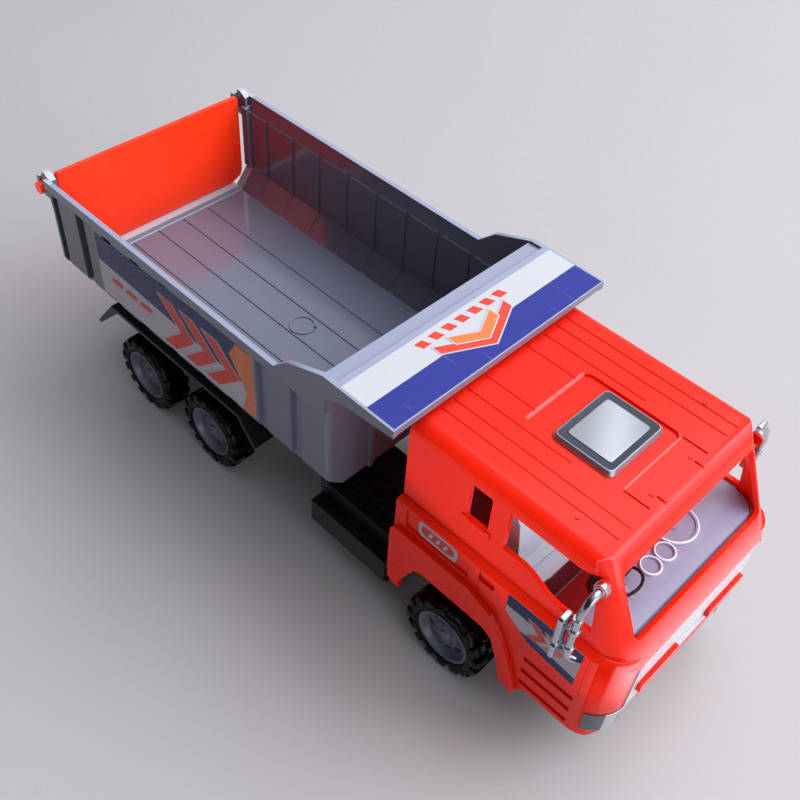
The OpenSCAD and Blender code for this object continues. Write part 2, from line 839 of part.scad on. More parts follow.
module under_floor() {
    rib_xs = [bed_rear + 40, bed_rear + 78, bed_rear + 116, bed_rear + 154, bed_front - 8];
    both_sides() {
        box([hinge_x + 6, beam_inner_y, beam_top_z],
            [bed_front - 6, beam_outer_y, bed_floor_z - 1]);
        hinge_lug();
    }
    for (x = rib_xs)
        box([x - 1, -46, bed_floor_z - floor_t - 2.6], [x + 1, 46, bed_floor_z - 1]);
}

// moulded ring on the floor
module floor_ring() {
    translate([bed_rear + 113.5, 0, bed_floor_z - 0.5]) difference() {
        cylinder(r = 6.8, h = 1.1);
        translate([0, 0, -1]) cylinder(r = 5.7, h = 4);
    }
}

// panel grooves on the outside of the left wall
module outside_grooves() {
    for (i = [0:8]) let (x = bed_rear + 2.8 + i * groove_pitch)
        if (x + groove_w / 2 < bed_front - 8)
            box([max(x - groove_w / 2, bed_rear + 1.6), wall_y - 1.8, chamfer_z - 12],
                [x + groove_w / 2, bed_half + 5, rail_z - 8.5]);
}

// panel grooves on the inside of the left wall
module inside_grooves() {
    deep_y = inner_y + 0.8;
    near_y = inner_y - 0.4;
    foot_z = bed_floor_z + 0.3;
    for (i = [0:7]) let (x = bed_rear + 19.7 + i * (groove_pitch - 0.9))
        if (x < bed_front - 8)
            along(x - 1.5, x + 1.5)
                polygon([[49.3, foot_z], [near_y, chamfer_z + 3], [near_y, rail_z - 8],
                    [deep_y, rail_z - 8], [deep_y, chamfer_z + 3], [50.5, foot_z]]);
}

module floor_grooves() {
    for (step = [-1.5, -0.5, 0.5, 1.5]) let (y = step * floor_groove_pitch)
        box([bed_rear + 5.6, y - 0.5, bed_floor_z - 0.6],
            [bed_front - 4, y + 0.5, bed_floor_z + 0.01]);
}

module dump_bed() {
    color(grey) at_rear() difference() {
        union() {
            tub();
            canopy();
            rear_sill();
            both_sides() {
                rear_post();
                gate_hook();
            }
            under_floor();
            floor_ring();
        }
        both_sides() {
            outside_grooves();
            inside_grooves();
        }
        floor_grooves();
        // gate mark, a small round hole at the ring
        translate([bed_rear + 119, 3, bed_floor_z - 0.8]) cylinder(r = 0.9, h = 2);
    }
}

module bed_pivot_pin() {
    color(pin_grey) at_rear() translate([hinge_x, 0, hinge_z]) rod(hinge_pin_r, -24.6, 24.6);
}

module bed_side_stickers() {
    rear = bed_rear + 37;
    front = bed_rear + 152;
    bottom = chamfer_z + 0.4;
    color(blue) at_rear() both_sides() across(wall_y, wall_y + sticker_t)
        polygon([[rear, bottom], [rear, rail_z - 10], [front, rail_z - 7.5], [front, bottom]]);
}

module canopy_sticker() {
    half_w = bed_half - 1.2;
    color(blue) at_rear() translate([bed_front + 8, -half_w, canopy_z])
        linear_extrude(height = sticker_t) square([canopy_reach - 8.6, 2 * half_w]);
}

module tailgate() {
    color(red) at_rear() {
        along(7, 9.4)
            polygon(mirrored([[gate_half - 7, 62], [gate_half - 1.5, 64.5], [gate_half, 68],
                [gate_half, rail_z - 1.5], [gate_half - 1, rail_z - 0.5]]));
        // knuckles, pins and pin heads
        both_sides() translate([gate_pin_x, 0, gate_pin_z]) {
            across(gate_half - 4, gate_half) {
                circle(2.8);
                translate([0, -2.8]) square([4, 5.6]);
            }
            rod(gate_pin_r, gate_half - 2, bed_half - 1);
            rod(3, bed_half - 1.9, bed_half + 0.6);
        }
    }
}

// ---- wheels --------------------------------------------------------------

module axle(x) {
    end_y = track_w / 2 - 3;
    color(axle_grey) at_rear() translate([x, 0, wheel_r]) rod(axle_r, -end_y, end_y);
}

// sets a wheel part at both ends of the axle at x;
// the part's z runs from the inner to the outer face of the wheel
module wheel_pair(x) {
    at_rear() translate([x, 0, wheel_r]) both_sides()
        translate([0, track_w / 2 - tyre_w, 0]) rotate([-90, 0, 0]) children();
}

// section as [radius, z] points
module rim_profile() {
    polygon([[0, 0], [4, 0], [4, 3], [rim_r - 2, 3], [rim_r - 2, 0.6], [rim_r, 0.6],
        [rim_r, tyre_w - 1], [rim_r - 1, tyre_w - 0.6], [rim_r - 1.8, tyre_w - 1],
        [rim_r - 2.4, tyre_w - 4], [5.2, tyre_w - 5], [4.6, tyre_w - 2.4],
        [2.6, tyre_w - 1.4], [0, tyre_w - 1.4]]);
}

module rim() {
    difference() {
        rotate_extrude() rim_profile();
        // hollow back round the hub
        translate([0, 0, -1]) difference() {
            cylinder(r = rim_r - 2, h = tyre_w - 6);
            translate([0, 0, -1]) cylinder(r = 4, h = tyre_w);
        }
        // round holes in the disc
        for (i = [0:7])
            rotate([0, 0, i * 45]) translate([8.5, 0, 1]) cylinder(r = 1.5, h = tyre_w);
        translate([0, 0, -1]) cylinder(r = axle_r, h = tyre_w - 1);
    }
}

// section as [radius, z] points
module tyre_profile() {
    polygon([[rim_r, 0.6], [rim_r + 1.6, 0], [wheel_r - 2, 0.5], [wheel_r, 2.2],
        [wheel_r, tyre_w - 2.2], [wheel_r - 2, tyre_w - 0.5], [rim_r + 1.6, tyre_w],
        [rim_r, tyre_w - 1]]);
}

// gap between tread blocks, turned by a number of block steps
module tread_gap(step, bottom, height) {
    gap_w = 3;
    rotate([0, 0, step * 360 / tread_blocks])
        translate([wheel_r - 2.2, -gap_w / 2, bottom]) cube([5, gap_w, height]);
}

module tyre() {
    difference() {
        rotate_extrude() tyre_profile();
        // gaps staggered between the two shoulders
        for (i = [0:tread_blocks - 1]) {
            tread_gap(i, -1, tyre_w / 2 + 1.6);
            tread_gap(i + 0.5, tyre_w / 2 - 0.6, tyre_w / 2 + 2);
        }
    }
}

module rims(x) { color(rim_grey) wheel_pair(x) rim(); }
module tyres(x) { color(black) wheel_pair(x) tyre(); }

module front_axle() { axle(front_x); }
module front_rims() { rims(front_x); }
module front_tyres() { tyres(front_x); }
module middle_axle() { axle(middle_x); }
module middle_rims() { rims(middle_x); }
module middle_tyres() { tyres(middle_x); }
module rear_axle() { axle(rear_x); }
module rear_rims() { rims(rear_x); }
module rear_tyres() { tyres(rear_x); }

// ---- output --------------------------------------------------------------

chassis();
cab_shell();
cab_interior();
seats();
steering_wheel();
roof_hatch_frame();
roof_hatch_plate();
mirror_right();
mirror_left();
headlights();
front_grille();
door_stickers();
cab_badges();
cab_screws();
dump_bed();
bed_pivot_pin();
bed_side_stickers();
canopy_sticker();
tailgate();
front_axle();
front_rims();
front_tyres();
middle_axle();
middle_rims();
middle_tyres();
rear_axle();
rear_rims();
rear_tyres();
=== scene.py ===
# A toy dump truck with a red cab, a grey bed and three pairs of wheels, on a studio floor. It
# points along +x, its left side is at +y, z is up and the floor is at z = 0.
import json
import math

import bmesh
import bpy
from mathutils import Matrix, Vector, kdtree

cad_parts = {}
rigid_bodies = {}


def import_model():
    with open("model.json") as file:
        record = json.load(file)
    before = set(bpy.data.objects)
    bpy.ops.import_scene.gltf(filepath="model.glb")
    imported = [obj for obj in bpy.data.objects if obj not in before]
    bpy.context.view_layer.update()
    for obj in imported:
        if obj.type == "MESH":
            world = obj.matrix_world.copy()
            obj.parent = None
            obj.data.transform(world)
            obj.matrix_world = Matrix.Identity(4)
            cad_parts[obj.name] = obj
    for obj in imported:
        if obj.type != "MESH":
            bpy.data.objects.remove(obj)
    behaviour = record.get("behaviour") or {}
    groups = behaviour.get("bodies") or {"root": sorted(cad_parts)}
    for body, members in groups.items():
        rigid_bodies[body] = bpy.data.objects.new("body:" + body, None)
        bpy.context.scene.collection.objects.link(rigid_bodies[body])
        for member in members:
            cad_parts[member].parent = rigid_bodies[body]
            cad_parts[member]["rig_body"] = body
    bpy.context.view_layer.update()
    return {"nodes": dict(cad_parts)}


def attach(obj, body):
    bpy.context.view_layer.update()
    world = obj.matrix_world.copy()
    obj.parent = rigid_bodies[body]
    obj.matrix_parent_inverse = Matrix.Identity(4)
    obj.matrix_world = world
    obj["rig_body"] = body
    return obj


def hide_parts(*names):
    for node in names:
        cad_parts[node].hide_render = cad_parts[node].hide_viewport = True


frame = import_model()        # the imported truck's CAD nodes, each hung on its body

MM = 0.001
HALF_LENGTH = 0.1775                    # from the truck's rear end to x = 0, in metres
NODES = frame["nodes"]
BODY = {name: NODES[name]["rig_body"] for name in NODES}


def from_rear(x):
    """Turns a distance from the rear end in mm into x in metres."""
    return x * MM - HALF_LENGTH


SEAT_SPLIT = from_rear(304.0)           # the seat piece is pale and has a painted glow behind this x
INTERIOR_SPLIT = from_rear(327.0)       # the cab interior is dark red behind this x
LAMP_SPLIT = from_rear(350.3)           # the headlights are clear ahead of this x
HATCH_X, HATCH_LENGTH, HATCH_WIDTH, HATCH_Z = 295.5, 28.5, 35.0, 122.9      # mm, z of the roof


# ---------------------------------------------------------------------------
# shader nodes
# ---------------------------------------------------------------------------

class Net:
    """A node tree with short ways to add and link nodes. Values are constants or outputs."""

    def __init__(self, owner, output, shader):
        owner.use_nodes = True
        self.tree = owner.node_tree
        self.tree.nodes.clear()
        end = self.add(output)
        self.shader = self.add(shader)
        self.feed(end.inputs[0], self.shader.outputs[0])

    def add(self, kind, values=(), **settings):
        node = self.tree.nodes.new("ShaderNode" + kind)
        for key, value in settings.items():
            setattr(node, key, value)
        for socket, value in dict(values).items():
            self.feed(node.inputs[socket], value)
        return node

    def feed(self, socket, value):
        if isinstance(value, bpy.types.NodeSocket):
            self.tree.links.new(value, socket)
        else:
            socket.default_value = (*value, 1) if socket.type == "RGBA" else value

    def set(self, values):
        """Sets inputs of the surface or background shader."""
        for socket, value in values.items():
            self.feed(self.shader.inputs[socket], value)

    def coords(self, scale=(1, 1, 1), turn=(0, 0, 0)):
        source = self.add("TexCoord").outputs["Object"]
        values = {"Scale": scale, "Rotation": turn, "Vector": source}
        return self.add("Mapping", values).outputs["Vector"]

    def noise(self, scale, detail, stretch=None, turn=(0, 0, 0)):
        """Noise over the object; with a stretch it gets its own scaled and turned frame."""
        vector = self.coords(stretch, turn) if stretch else self.place
        values = {"Scale": scale, "Detail": detail, "Roughness": 0.55, "Vector": vector}
        return self.add("TexNoise", values).outputs["Fac"]

    def ramp(self, value, between, to=(0, 1), kind="LINEAR"):
        values = {"From Min": between[0], "From Max": between[1],
                  "To Min": to[0], "To Max": to[1], "Value": value}
        return self.add("MapRange", values, interpolation_type=kind, clamp=True).outputs["Result"]

    def soft_ramp(self, value, between, to=(0, 1)):
        return self.ramp(value, between, to, "SMOOTHSTEP")

    def mix(self, amount, colour, other):
        """Goes from colour to other as amount goes from 0 to 1."""
        return self.add("Mix", {0: amount, 6: colour, 7: other}, data_type="RGBA").outputs[2]

    def math(self, operation, *values):
        return self.add("Math", enumerate(values), operation=operation).outputs[0]

    def product(self, result, *factors):
        for factor in factors:
            result = self.math("MULTIPLY", result, factor)
        return result

    def dot(self, vector, direction):
        values = {0: vector, 1: Vector(direction).normalized()}
        return self.add("VectorMath", values, operation="DOT_PRODUCT").outputs["Value"]

    def split(self, vector):
        return self.add("SeparateXYZ", {0: vector}).outputs

    def facing(self):
        """X, Y and Z of the surface normal."""
        return self.split(self.add("NewGeometry").outputs["Normal"])

    def spot(self):
        """X, Y and Z of the place on the object."""
        return self.split(self.place)

    def bump(self, height, strength, distance):
        values = {"Strength": strength, "Distance": distance, "Height": height}
        self.set({"Normal": self.add("Bump", values).outputs["Normal"]})


def shade(colour, factor):
    return tuple(max(0.0, min(1.0, value * factor)) for value in colour)


# ---------------------------------------------------------------------------
# kinds of material
# ---------------------------------------------------------------------------
MATERIALS = {}


def material(name):
    MATERIALS[name] = bpy.data.materials.new(name)
    net = Net(MATERIALS[name], "OutputMaterial", "BsdfPrincipled")
    net.place = net.coords()
    return net


def scratches(net, amount):
    """Rubbed hairlines: two crossed families of very stretched noise, in patches."""
    first = net.noise(scale=1.0, detail=2, stretch=(14, 900, 900), turn=(0.0, 0.0, 0.35))
    second = net.noise(scale=1.0, detail=2, stretch=(700, 16, 700), turn=(0.1, 0.5, 0.2))
    lines = net.math("MAXIMUM", net.ramp(first, between=(0.66, 0.72)),
                     net.ramp(second, between=(0.68, 0.74)))
    patches = net.ramp(net.noise(scale=11, detail=2), between=(0.48, 0.62))
    return net.product(lines, patches, amount)


def dusted(net, colour, dust):
    """Pale specks on faces that look up."""
    upward = net.ramp(net.facing()["Z"], between=(0.2, 1.0))
    specks = net.ramp(net.noise(scale=420, detail=3), between=(0.5, 0.72))
    return net.mix(net.product(upward, specks, dust), colour, (0.55, 0.54, 0.53))


def plastic(name, base, rough, vary, coat=0.25, scratch=0.5, spec=0.5, peel=0.35, dust=0.0,
            scatter=0.0, scatter_reach=None, tint=None, light=None):
    """Moulded plastic: slow colour drift, flow marks, orange-peel bump and scratches.

    tint(net, colour) returns the colour changed by place; light(net) sets the emission, a painted
    glow and sheen.
    """
    net = material(name)
    drift = net.noise(scale=22, detail=4)
    flow = net.noise(scale=3.0, detail=3, stretch=(9, 60, 14), turn=(0.2, 0.1, 0.4))
    colour = net.mix(net.ramp(drift, between=(0.3, 0.7)),
                     shade(base, 1 - vary), shade(base, 1 + vary * 0.6))
    colour = net.mix(net.ramp(flow, between=(0.45, 0.75), to=(0, 0.35)),
                     colour, shade(base, 1 - vary * 1.6))
    marks = scratches(net, scratch)
    colour = net.mix(net.product(marks, 0.10), colour, (0.75, 0.75, 0.78))
    if dust > 0:
        colour = dusted(net, colour, dust)
    if tint:
        colour = tint(net, colour)
    if light:
        light(net)
    gloss = net.ramp(net.noise(scale=65, detail=4), between=(0.3, 0.7),
                     to=(rough * 0.8, rough * 1.25))
    net.set({"Base Color": colour,
             "Roughness": net.math("ADD", gloss, net.product(marks, 0.22)),
             "IOR": 1.49, "Specular IOR Level": spec,
             "Coat Weight": coat, "Coat Roughness": 0.06})
    if scatter > 0:
        net.shader.subsurface_method = "RANDOM_WALK"
        net.set({"Subsurface Weight": scatter, "Subsurface Radius": scatter_reach,
                 "Subsurface Scale": 1.0})
    height = net.math("ADD", net.product(net.noise(scale=260, detail=2), 1.0),
                      net.product(net.noise(scale=55, detail=2), 2.2))
    height = net.math("SUBTRACT", height, net.product(marks, 0.6))
    net.bump(height, strength=peel, distance=0.00006)


def metal(name, base, rough, scale, stretch=(1, 1, 1), streak=0.0, metallic=1.0,
          bump=0.00003, band=None):
    """Metal with fine grain; band(net, base) replaces its clouded, streaked colour."""
    net = material(name)
    grain = net.noise(scale=scale, detail=3, stretch=stretch)
    if band:
        colour = band(net, base)
    else:
        cloud = net.noise(scale=40, detail=3)
        colour = net.mix(net.ramp(cloud, between=(0.3, 0.7)), shade(base, 0.9), shade(base, 1.06))
        colour = net.mix(net.ramp(grain, between=(0.35, 0.65), to=(0, streak)),
                         colour, shade(base, 0.72))
    roughness = net.ramp(grain, between=(0.25, 0.75), to=(rough * 0.75, rough * 1.35))
    net.set({"Base Color": colour, "Metallic": metallic, "Roughness": roughness})
    net.bump(grain, strength=0.35, distance=bump)


def vinyl(name, base, mottle=0.05):
    """Printed film: a faint halftone, ink mottle and a satin clear layer that ripples."""
    net = material(name)
    cells = net.add("TexVoronoi", {"Scale": 2600, "Vector": net.place}).outputs["Distance"]
    colour = net.mix(net.ramp(cells, between=(0.1, 0.5), to=(0, 0.35)),
                     shade(base, 1 - mottle), shade(base, 1 + mottle))
    colour = net.mix(net.ramp(net.noise(scale=60, detail=4), between=(0.35, 0.7), to=(0, 0.6)),
                     colour, shade(base, 1 - 2 * mottle))
    rubbing = net.noise(scale=1.0, detail=2, stretch=(30, 500, 500), turn=(0, 0, 0.3))
    colour = net.mix(net.ramp(rubbing, between=(0.66, 0.74), to=(0, 0.12)),
                     colour, (0.7, 0.7, 0.72))
    roughness = net.ramp(net.noise(scale=90, detail=3), between=(0.3, 0.7), to=(0.2, 0.325))
    net.set({"Base Color": colour, "Roughness": roughness, "Specular IOR Level": 0.22,
             "Coat Weight": 0.02, "Coat Roughness": 0.12})
    net.bump(net.noise(scale=70, detail=2), strength=0.25, distance=0.00008)


# ---------------------------------------------------------------------------
# changes of colour from place to place, and painted shade, highlights and glow
# ---------------------------------------------------------------------------

def colour_behind(split, behind):
    """A tint that gives everything behind the cross plane x = split another colour."""
    def tint(net, colour):
        ahead = net.ramp(net.spot()["X"], between=(split, split + 0.0006))
        return net.mix(ahead, behind, colour)
    return tint


BED_GREY = (0.175, 0.195, 0.275)


def bed_painted_shade(net, colour):
    """Painted shade in the sunk panels and on the outer faces at the rear of the bed, and on the
    walls inside it.
    """
    face, spot = net.facing(), net.spot()
    away = net.math("ABSOLUTE", spot["Y"])                   # distance from the middle plane
    outward = net.product(net.math("SIGN", spot["Y"]), face["Y"])
    upright = net.ramp(net.math("ABSOLUTE", face["Z"]), between=(0.4, 0.9), to=(1, 0))

    def rear_end():
        return net.ramp(spot["X"], between=(from_rear(44), from_rear(46)), to=(1, 0))

    # painted shade: the sunk panels at the rear of the outer walls are darkened
    sunk = net.product(net.ramp(away, between=(0.0601, 0.0608), to=(1, 0)), rear_end(), upright,
                       net.ramp(away, between=(0.0588, 0.0591)),
                       net.ramp(spot["Z"], between=(0.0650, 0.0660)),
                       net.ramp(outward, between=(-0.3, -0.1)))
    colour = net.mix(net.product(sunk, 0.9), colour, (0.040, 0.055, 0.066))
    # painted shade: the outer faces round the sunk panels at the rear are darkened too
    outer_shade = net.product(net.ramp(away, between=(0.0600, 0.0603)),
                       net.ramp(away, between=(0.0618, 0.0622), to=(1, 0)), upright, rear_end())
    colour = net.mix(net.product(outer_shade, 0.75), colour, (0.055, 0.066, 0.082))
    # painted shade: the walls inside the bed, which face away from the light, are darkened
    inner = net.product(net.ramp(outward, between=(-0.35, -0.75)),
                        net.ramp(away, between=(0.044, 0.048)))
    return net.mix(net.product(inner, 0.75), colour, (0.085, 0.088, 0.125))


def bed_painted_light(net, colour):
    """Painted shade in the recesses, then painted highlights on up-facing faces of the rail tops
    and at the rear end.
    """
    colour = bed_painted_shade(net, colour)
    face, spot = net.facing(), net.spot()
    # painted highlight: faces that look up at the rail tops and at the rear end are made lighter
    upward = net.ramp(face["Z"], between=(0.35, 0.95))
    high = net.ramp(spot["Z"], between=(0.1118, 0.1126))
    rear = net.ramp(spot["X"], between=(from_rear(15.1), from_rear(15.5)), to=(1, 0))
    amount = net.product(upward, net.math("MAXIMUM", high, rear), 0.85)
    return net.mix(amount, colour, net.mix(rear, shade(BED_GREY, 2.1), (0.62, 0.64, 0.74)))


def painted_glow_power(net, strength, fade=None):
    """Painted glow, as emission, standing in for light through a thin wall: strongest on open
    faces, none in corners and inside.

    Returns how open the place is, and the power of the painted glow.
    """
    shadow = net.add("AmbientOcclusion", {"Distance": 0.03}, samples=4)
    open_air = net.ramp(shadow.outputs["AO"], between=(0.35, 0.95))
    cloudy = net.ramp(net.noise(scale=9, detail=2), between=(0.3, 0.7), to=(0.85, 1.1))
    if fade:
        cloudy = net.product(cloudy, fade(net))
    return open_air, net.product(open_air, cloudy, strength)


def glow(colour, strength, ends_at=None):
    """An even painted glow, as emission, which may end at a cross plane x = ends_at."""
    def light(net):
        power = painted_glow_power(net, strength)[1]
        if ends_at is not None:
            power = net.product(power, net.ramp(net.spot()["X"],
                                                between=(ends_at, ends_at + 0.0008), to=(1, 0)))
        net.set({"Emission Color": colour, "Emission Strength": power})
    return light


def cab_fade(net):
    """Less of the painted glow low down on the cab, along a slanted line."""
    spot = net.spot()
    ahead = net.math("SUBTRACT", spot["X"], from_rear(300))
    slant = net.math("ADD", spot["Z"], net.product(ahead, 0.35))
    return net.soft_ramp(slant, between=(0.058, 0.080), to=(0.30, 1.0))


def cab_painted_sheen(net, open_air):
    """Painted sheen on the front face, painted glints on two lips of the roof tray and a painted
    highlight along the sloping front edge.
    """
    face, spot = net.facing(), net.spot()
    front = net.product(
        net.soft_ramp(face["X"], between=(0.55, 0.97)),
        net.soft_ramp(spot["X"], between=(from_rear(340), from_rear(346))),
        net.soft_ramp(spot["Z"], between=(0.0760, 0.0905), to=(0.80, 0.0)),
        net.soft_ramp(spot["Z"], between=(0.046, 0.076), to=(0.10, 1.0)),
        open_air)
    middle = net.soft_ramp(net.math("ABSOLUTE", spot["Y"]), between=(0.0165, 0.0185), to=(1, 0))
    from_lips = [net.math("ABSOLUTE", net.math("SUBTRACT", spot["X"], from_rear(x)))
                 for x in (270.2, 315.5)]
    lips = net.product(
        net.soft_ramp(net.math("MINIMUM", *from_lips), between=(0.0003, 0.0009), to=(1, 0)),
        middle,
        net.ramp(spot["Z"], between=(0.1200, 0.1215), to=(0, 0.55)))
    edge = net.product(
        net.soft_ramp(face["X"], between=(0.20, 0.48)),
        net.soft_ramp(face["X"], between=(0.58, 0.86), to=(1, 0)),
        net.soft_ramp(face["Z"], between=(0.25, 0.5)),
        net.soft_ramp(spot["Z"], between=(0.1095, 0.1130)),
        net.soft_ramp(spot["X"], between=(from_rear(318), from_rear(328)), to=(0, 0.42)))
    return net.math("MAXIMUM", net.math("MAXIMUM", front, lips), edge)


def cab_light(net):
    # painted glow for light through the thin shell, and painted sheen, both as emission
    open_air, power = painted_glow_power(net, strength=0.56, fade=cab_fade)
    sheen = cab_painted_sheen(net, open_air)
    net.set({"Emission Color": net.mix(sheen, (1.0, 0.022, 0.004), (1.0, 0.62, 0.68)),
             "Emission Strength": net.math("MAXIMUM", power, net.product(sheen, 0.86))})


def hatch_painted_highlight(net, base):
    """A painted highlight: a soft bright band slantwise across the hatch plate."""
    centre = from_rear(HATCH_X) * 0.86 + 0.0035
    half_width, lift = 0.014, 1.28                           # lift: how much brighter it gets
    place = net.dot(net.place, direction=(0.86, 0.50, 0))
    away = net.math("ABSOLUTE", net.math("SUBTRACT", place, centre))
    return net.mix(net.soft_ramp(away, between=(0, half_width), to=(1, 0)),
                   shade(base, 1 / lift), shade(base, lift))


# ---------------------------------------------------------------------------
# the truck's materials
# ---------------------------------------------------------------------------
# the red cab has a painted glow and painted sheen as emission (cab_light)
plastic("cab_red", (0.58, 0.009, 0.004), rough=0.18, vary=0.02, coat=0.0, scratch=0.10,
        spec=0.28, scatter=0.45, scatter_reach=(0.008, 0.0011, 0.0004), light=cab_light)
# the tailgate has a painted glow as emission
plastic("gate_red", (0.85, 0.035, 0.008), rough=0.26, vary=0.02, coat=0.08, scratch=0.15,
        spec=0.35, scatter=0.6, scatter_reach=(0.012, 0.0016, 0.0005),
        light=glow(colour=(1.0, 0.040, 0.006), strength=0.48))
# the bed's colour carries painted shade in its recesses and inside, and painted highlights on its
# top faces
plastic("bed_grey", BED_GREY, rough=0.12, vary=0.04, coat=0.30, scratch=0.3, tint=bed_painted_light)
plastic("chassis_black", (0.006, 0.007, 0.009), rough=0.32, vary=0.25, coat=0.06, dust=0.03,
        spec=0.35)
plastic("interior_lilac", (0.32, 0.335, 0.50), rough=0.30, vary=0.04, coat=0.1, scratch=0.2,
        tint=colour_behind(INTERIOR_SPLIT, (0.19, 0.010, 0.012)))
# the seat piece has a painted glow as emission behind SEAT_SPLIT
plastic("seat_grey", (0.15, 0.022, 0.045), rough=0.28, vary=0.06, coat=0.10, scratch=0.1,
        tint=colour_behind(SEAT_SPLIT, (0.66, 0.86, 0.97)),
        light=glow(colour=(0.55, 0.80, 1.0), strength=0.62, ends_at=SEAT_SPLIT))
plastic("wheel_dark", (0.012, 0.004, 0.012), rough=0.30, vary=0.2, coat=0.0, spec=0.25)
plastic("tyre_black", (0.003, 0.003, 0.004), rough=0.24, vary=0.3, coat=0.0, peel=0.6,
        dust=0.01, spec=0.18)
plastic("rim_grey", (0.13, 0.145, 0.20), rough=0.32, vary=0.08, coat=0.05)
plastic("hatch_trim", (0.050, 0.058, 0.082), rough=0.34, vary=0.10, coat=0.0, scratch=0.2,
        spec=0.22)
metal("hatch_edge", (0.42, 0.45, 0.52), rough=0.30, scale=200, metallic=0.8)
metal("lamp_clear", (0.62, 0.65, 0.70), rough=0.20, scale=60, metallic=0.7, bump=0.000008)
# the dial rings have a painted glow as emission
plastic("dial_line", (0.80, 0.82, 0.92), rough=0.25, vary=0.03,
        light=glow(colour=(0.9, 0.93, 1.0), strength=0.5))
plastic("lamp_dark", (0.045, 0.055, 0.065), rough=0.12, vary=0.2, coat=0.6)
# the hatch plate's colour carries a painted highlight band
metal("hatch_silver", (0.39, 0.41, 0.46), rough=0.36, scale=420, stretch=(1, 14, 1),
      metallic=0.7, band=hatch_painted_highlight)
metal("chrome_trim", (0.50, 0.54, 0.61), rough=0.13, scale=90)
plastic("grille_silver", (0.72, 0.73, 0.79), rough=0.26, vary=0.02, coat=0.15, scratch=0.05,
        peel=0.04)
metal("steel", (0.55, 0.55, 0.57), rough=0.22, scale=300, stretch=(1, 12, 1), streak=0.3)
vinyl("sticker", (0.032, 0.044, 0.31), mottle=0.03)
vinyl("badge_sticker", (0.66, 0.60, 0.62))
vinyl("ink_white", (0.60, 0.63, 0.69), mottle=0.02)
vinyl("ink_pale", (0.58, 0.55, 0.62), mottle=0.03)
vinyl("ink_navy", (0.034, 0.042, 0.150), mottle=0.04)
vinyl("ink_red", (0.80, 0.075, 0.050), mottle=0.03)
vinyl("ink_orange", (0.86, 0.24, 0.075), mottle=0.03)

SLOTS = {                               # CAD node: its material
    "cab_interior": "interior_lilac", "seats": "seat_grey", "steering_wheel": "wheel_dark",
    "roof_hatch_frame": "hatch_trim", "roof_hatch_plate": "hatch_silver",
    "mirror_right": "chrome_trim", "mirror_left": "chrome_trim", "headlights": "lamp_dark",
    "front_grille": "grille_silver", "door_stickers": "sticker", "cab_badges": "badge_sticker",
    "cab_screws": "steel", "bed_pivot_pin": "steel", "bed_side_stickers": "sticker",
    "canopy_sticker": "sticker", "front_axle": "steel", "middle_axle": "steel",
    "rear_axle": "steel", "front_rims": "rim_grey", "middle_rims": "rim_grey",
    "rear_rims": "rim_grey", "front_tyres": "tyre_black", "middle_tyres": "tyre_black",
    "rear_tyres": "tyre_black", "cab_shell": "cab_red", "dump_bed": "bed_grey",
    "tailgate": "gate_red", "chassis": "chassis_black"}
for node, slot in SLOTS.items():
    NODES[node].data.materials.clear()
    NODES[node].data.materials.append(MATERIALS[slot])


# ---------------------------------------------------------------------------
# adding objects
# ---------------------------------------------------------------------------

def outward(mesh):
    """Turns every face outward."""
    bmesh.ops.recalc_face_normals(mesh, faces=mesh.faces)
    return mesh


def add_object(name, mesh, materials, body, sharp_degrees, weighted=True):
    data = bpy.data.meshes.new(name)
    mesh.normal_update()
    mesh.to_mesh(data)
    mesh.free()
    for key in materials:
        data.materials.append(MATERIALS[key])
    for polygon in data.polygons:
        polygon.use_smooth = True
    data.set_sharp_from_angle(angle=math.radians(sharp_degrees))
    thing = bpy.data.objects.new(name, data)
    bpy.context.scene.collection.objects.link(thing)
    if weighted:
        modifier = thing.modifiers.new("weighted", "WEIGHTED_NORMAL")
        modifier.keep_sharp = True
        modifier.weight = 60
    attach(thing, body)
    return thing


def stand_in(thing, node):
    """Lets the object stand for a CAD node by hiding the node."""
    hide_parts(node)


# ---------------------------------------------------------------------------
# CAD pieces with their sharp moulded edges rounded over
# ---------------------------------------------------------------------------
FLAT_DEGREES = 0.4                      # faces that meet flatter than this are joined
ROUNDED_DEGREES = 26                    # edges sharper than this are rounded
ROUNDING_SEGMENTS = 2
ROOM_SHARE = 0.42                       # part of the free room that a rounding may take
ROUNDING_TURNS = 7                      # how often folded faces are looked for
GENTLE_TURNS = 3                        # turns that narrow a rounding before dropping it


def bare_mesh(node):
    """The node's faces without stored normals, with flat neighbours joined into one face."""
    mesh = bmesh.new()
    verts = [mesh.verts.new(vertex.co) for vertex in NODES[node].data.vertices]
    for polygon in NODES[node].data.polygons:
        try:
            mesh.faces.new([verts[i] for i in polygon.vertices])
        except ValueError:              # the CAD data may hold the same face twice
            pass
    bmesh.ops.remove_doubles(mesh, verts=mesh.verts, dist=2e-6)
    bmesh.ops.dissolve_limit(mesh, angle_limit=math.radians(FLAT_DEGREES), verts=mesh.verts,
                             edges=mesh.edges, use_dissolve_boundaries=False)
    return outward(mesh)


def heading(loop):
    return (loop.link_loop_next.vert.co - loop.vert.co).normalized()


def neighbour(loop, forward):
    return loop.link_loop_next if forward else loop.link_loop_prev


def room_along(loop, forward, width):
    """Length of the first stretch of outline that turns away from the loop's edge."""
    start = heading(loop)
    current = loop
    for _ in range(400):
        current = neighbour(current, forward)
        if current is loop:
            return width * 4
        if heading(current).angle(start, 0.0) > 0.5:
            break
    stretch = heading(current)
    total = 0.0
    for _ in range(200):
        total += current.edge.calc_length()
        if total > width * 3:
            break
        current = neighbour(current, forward)
        if heading(current).angle(stretch, 0.0) > 1.0:
            break
    return total


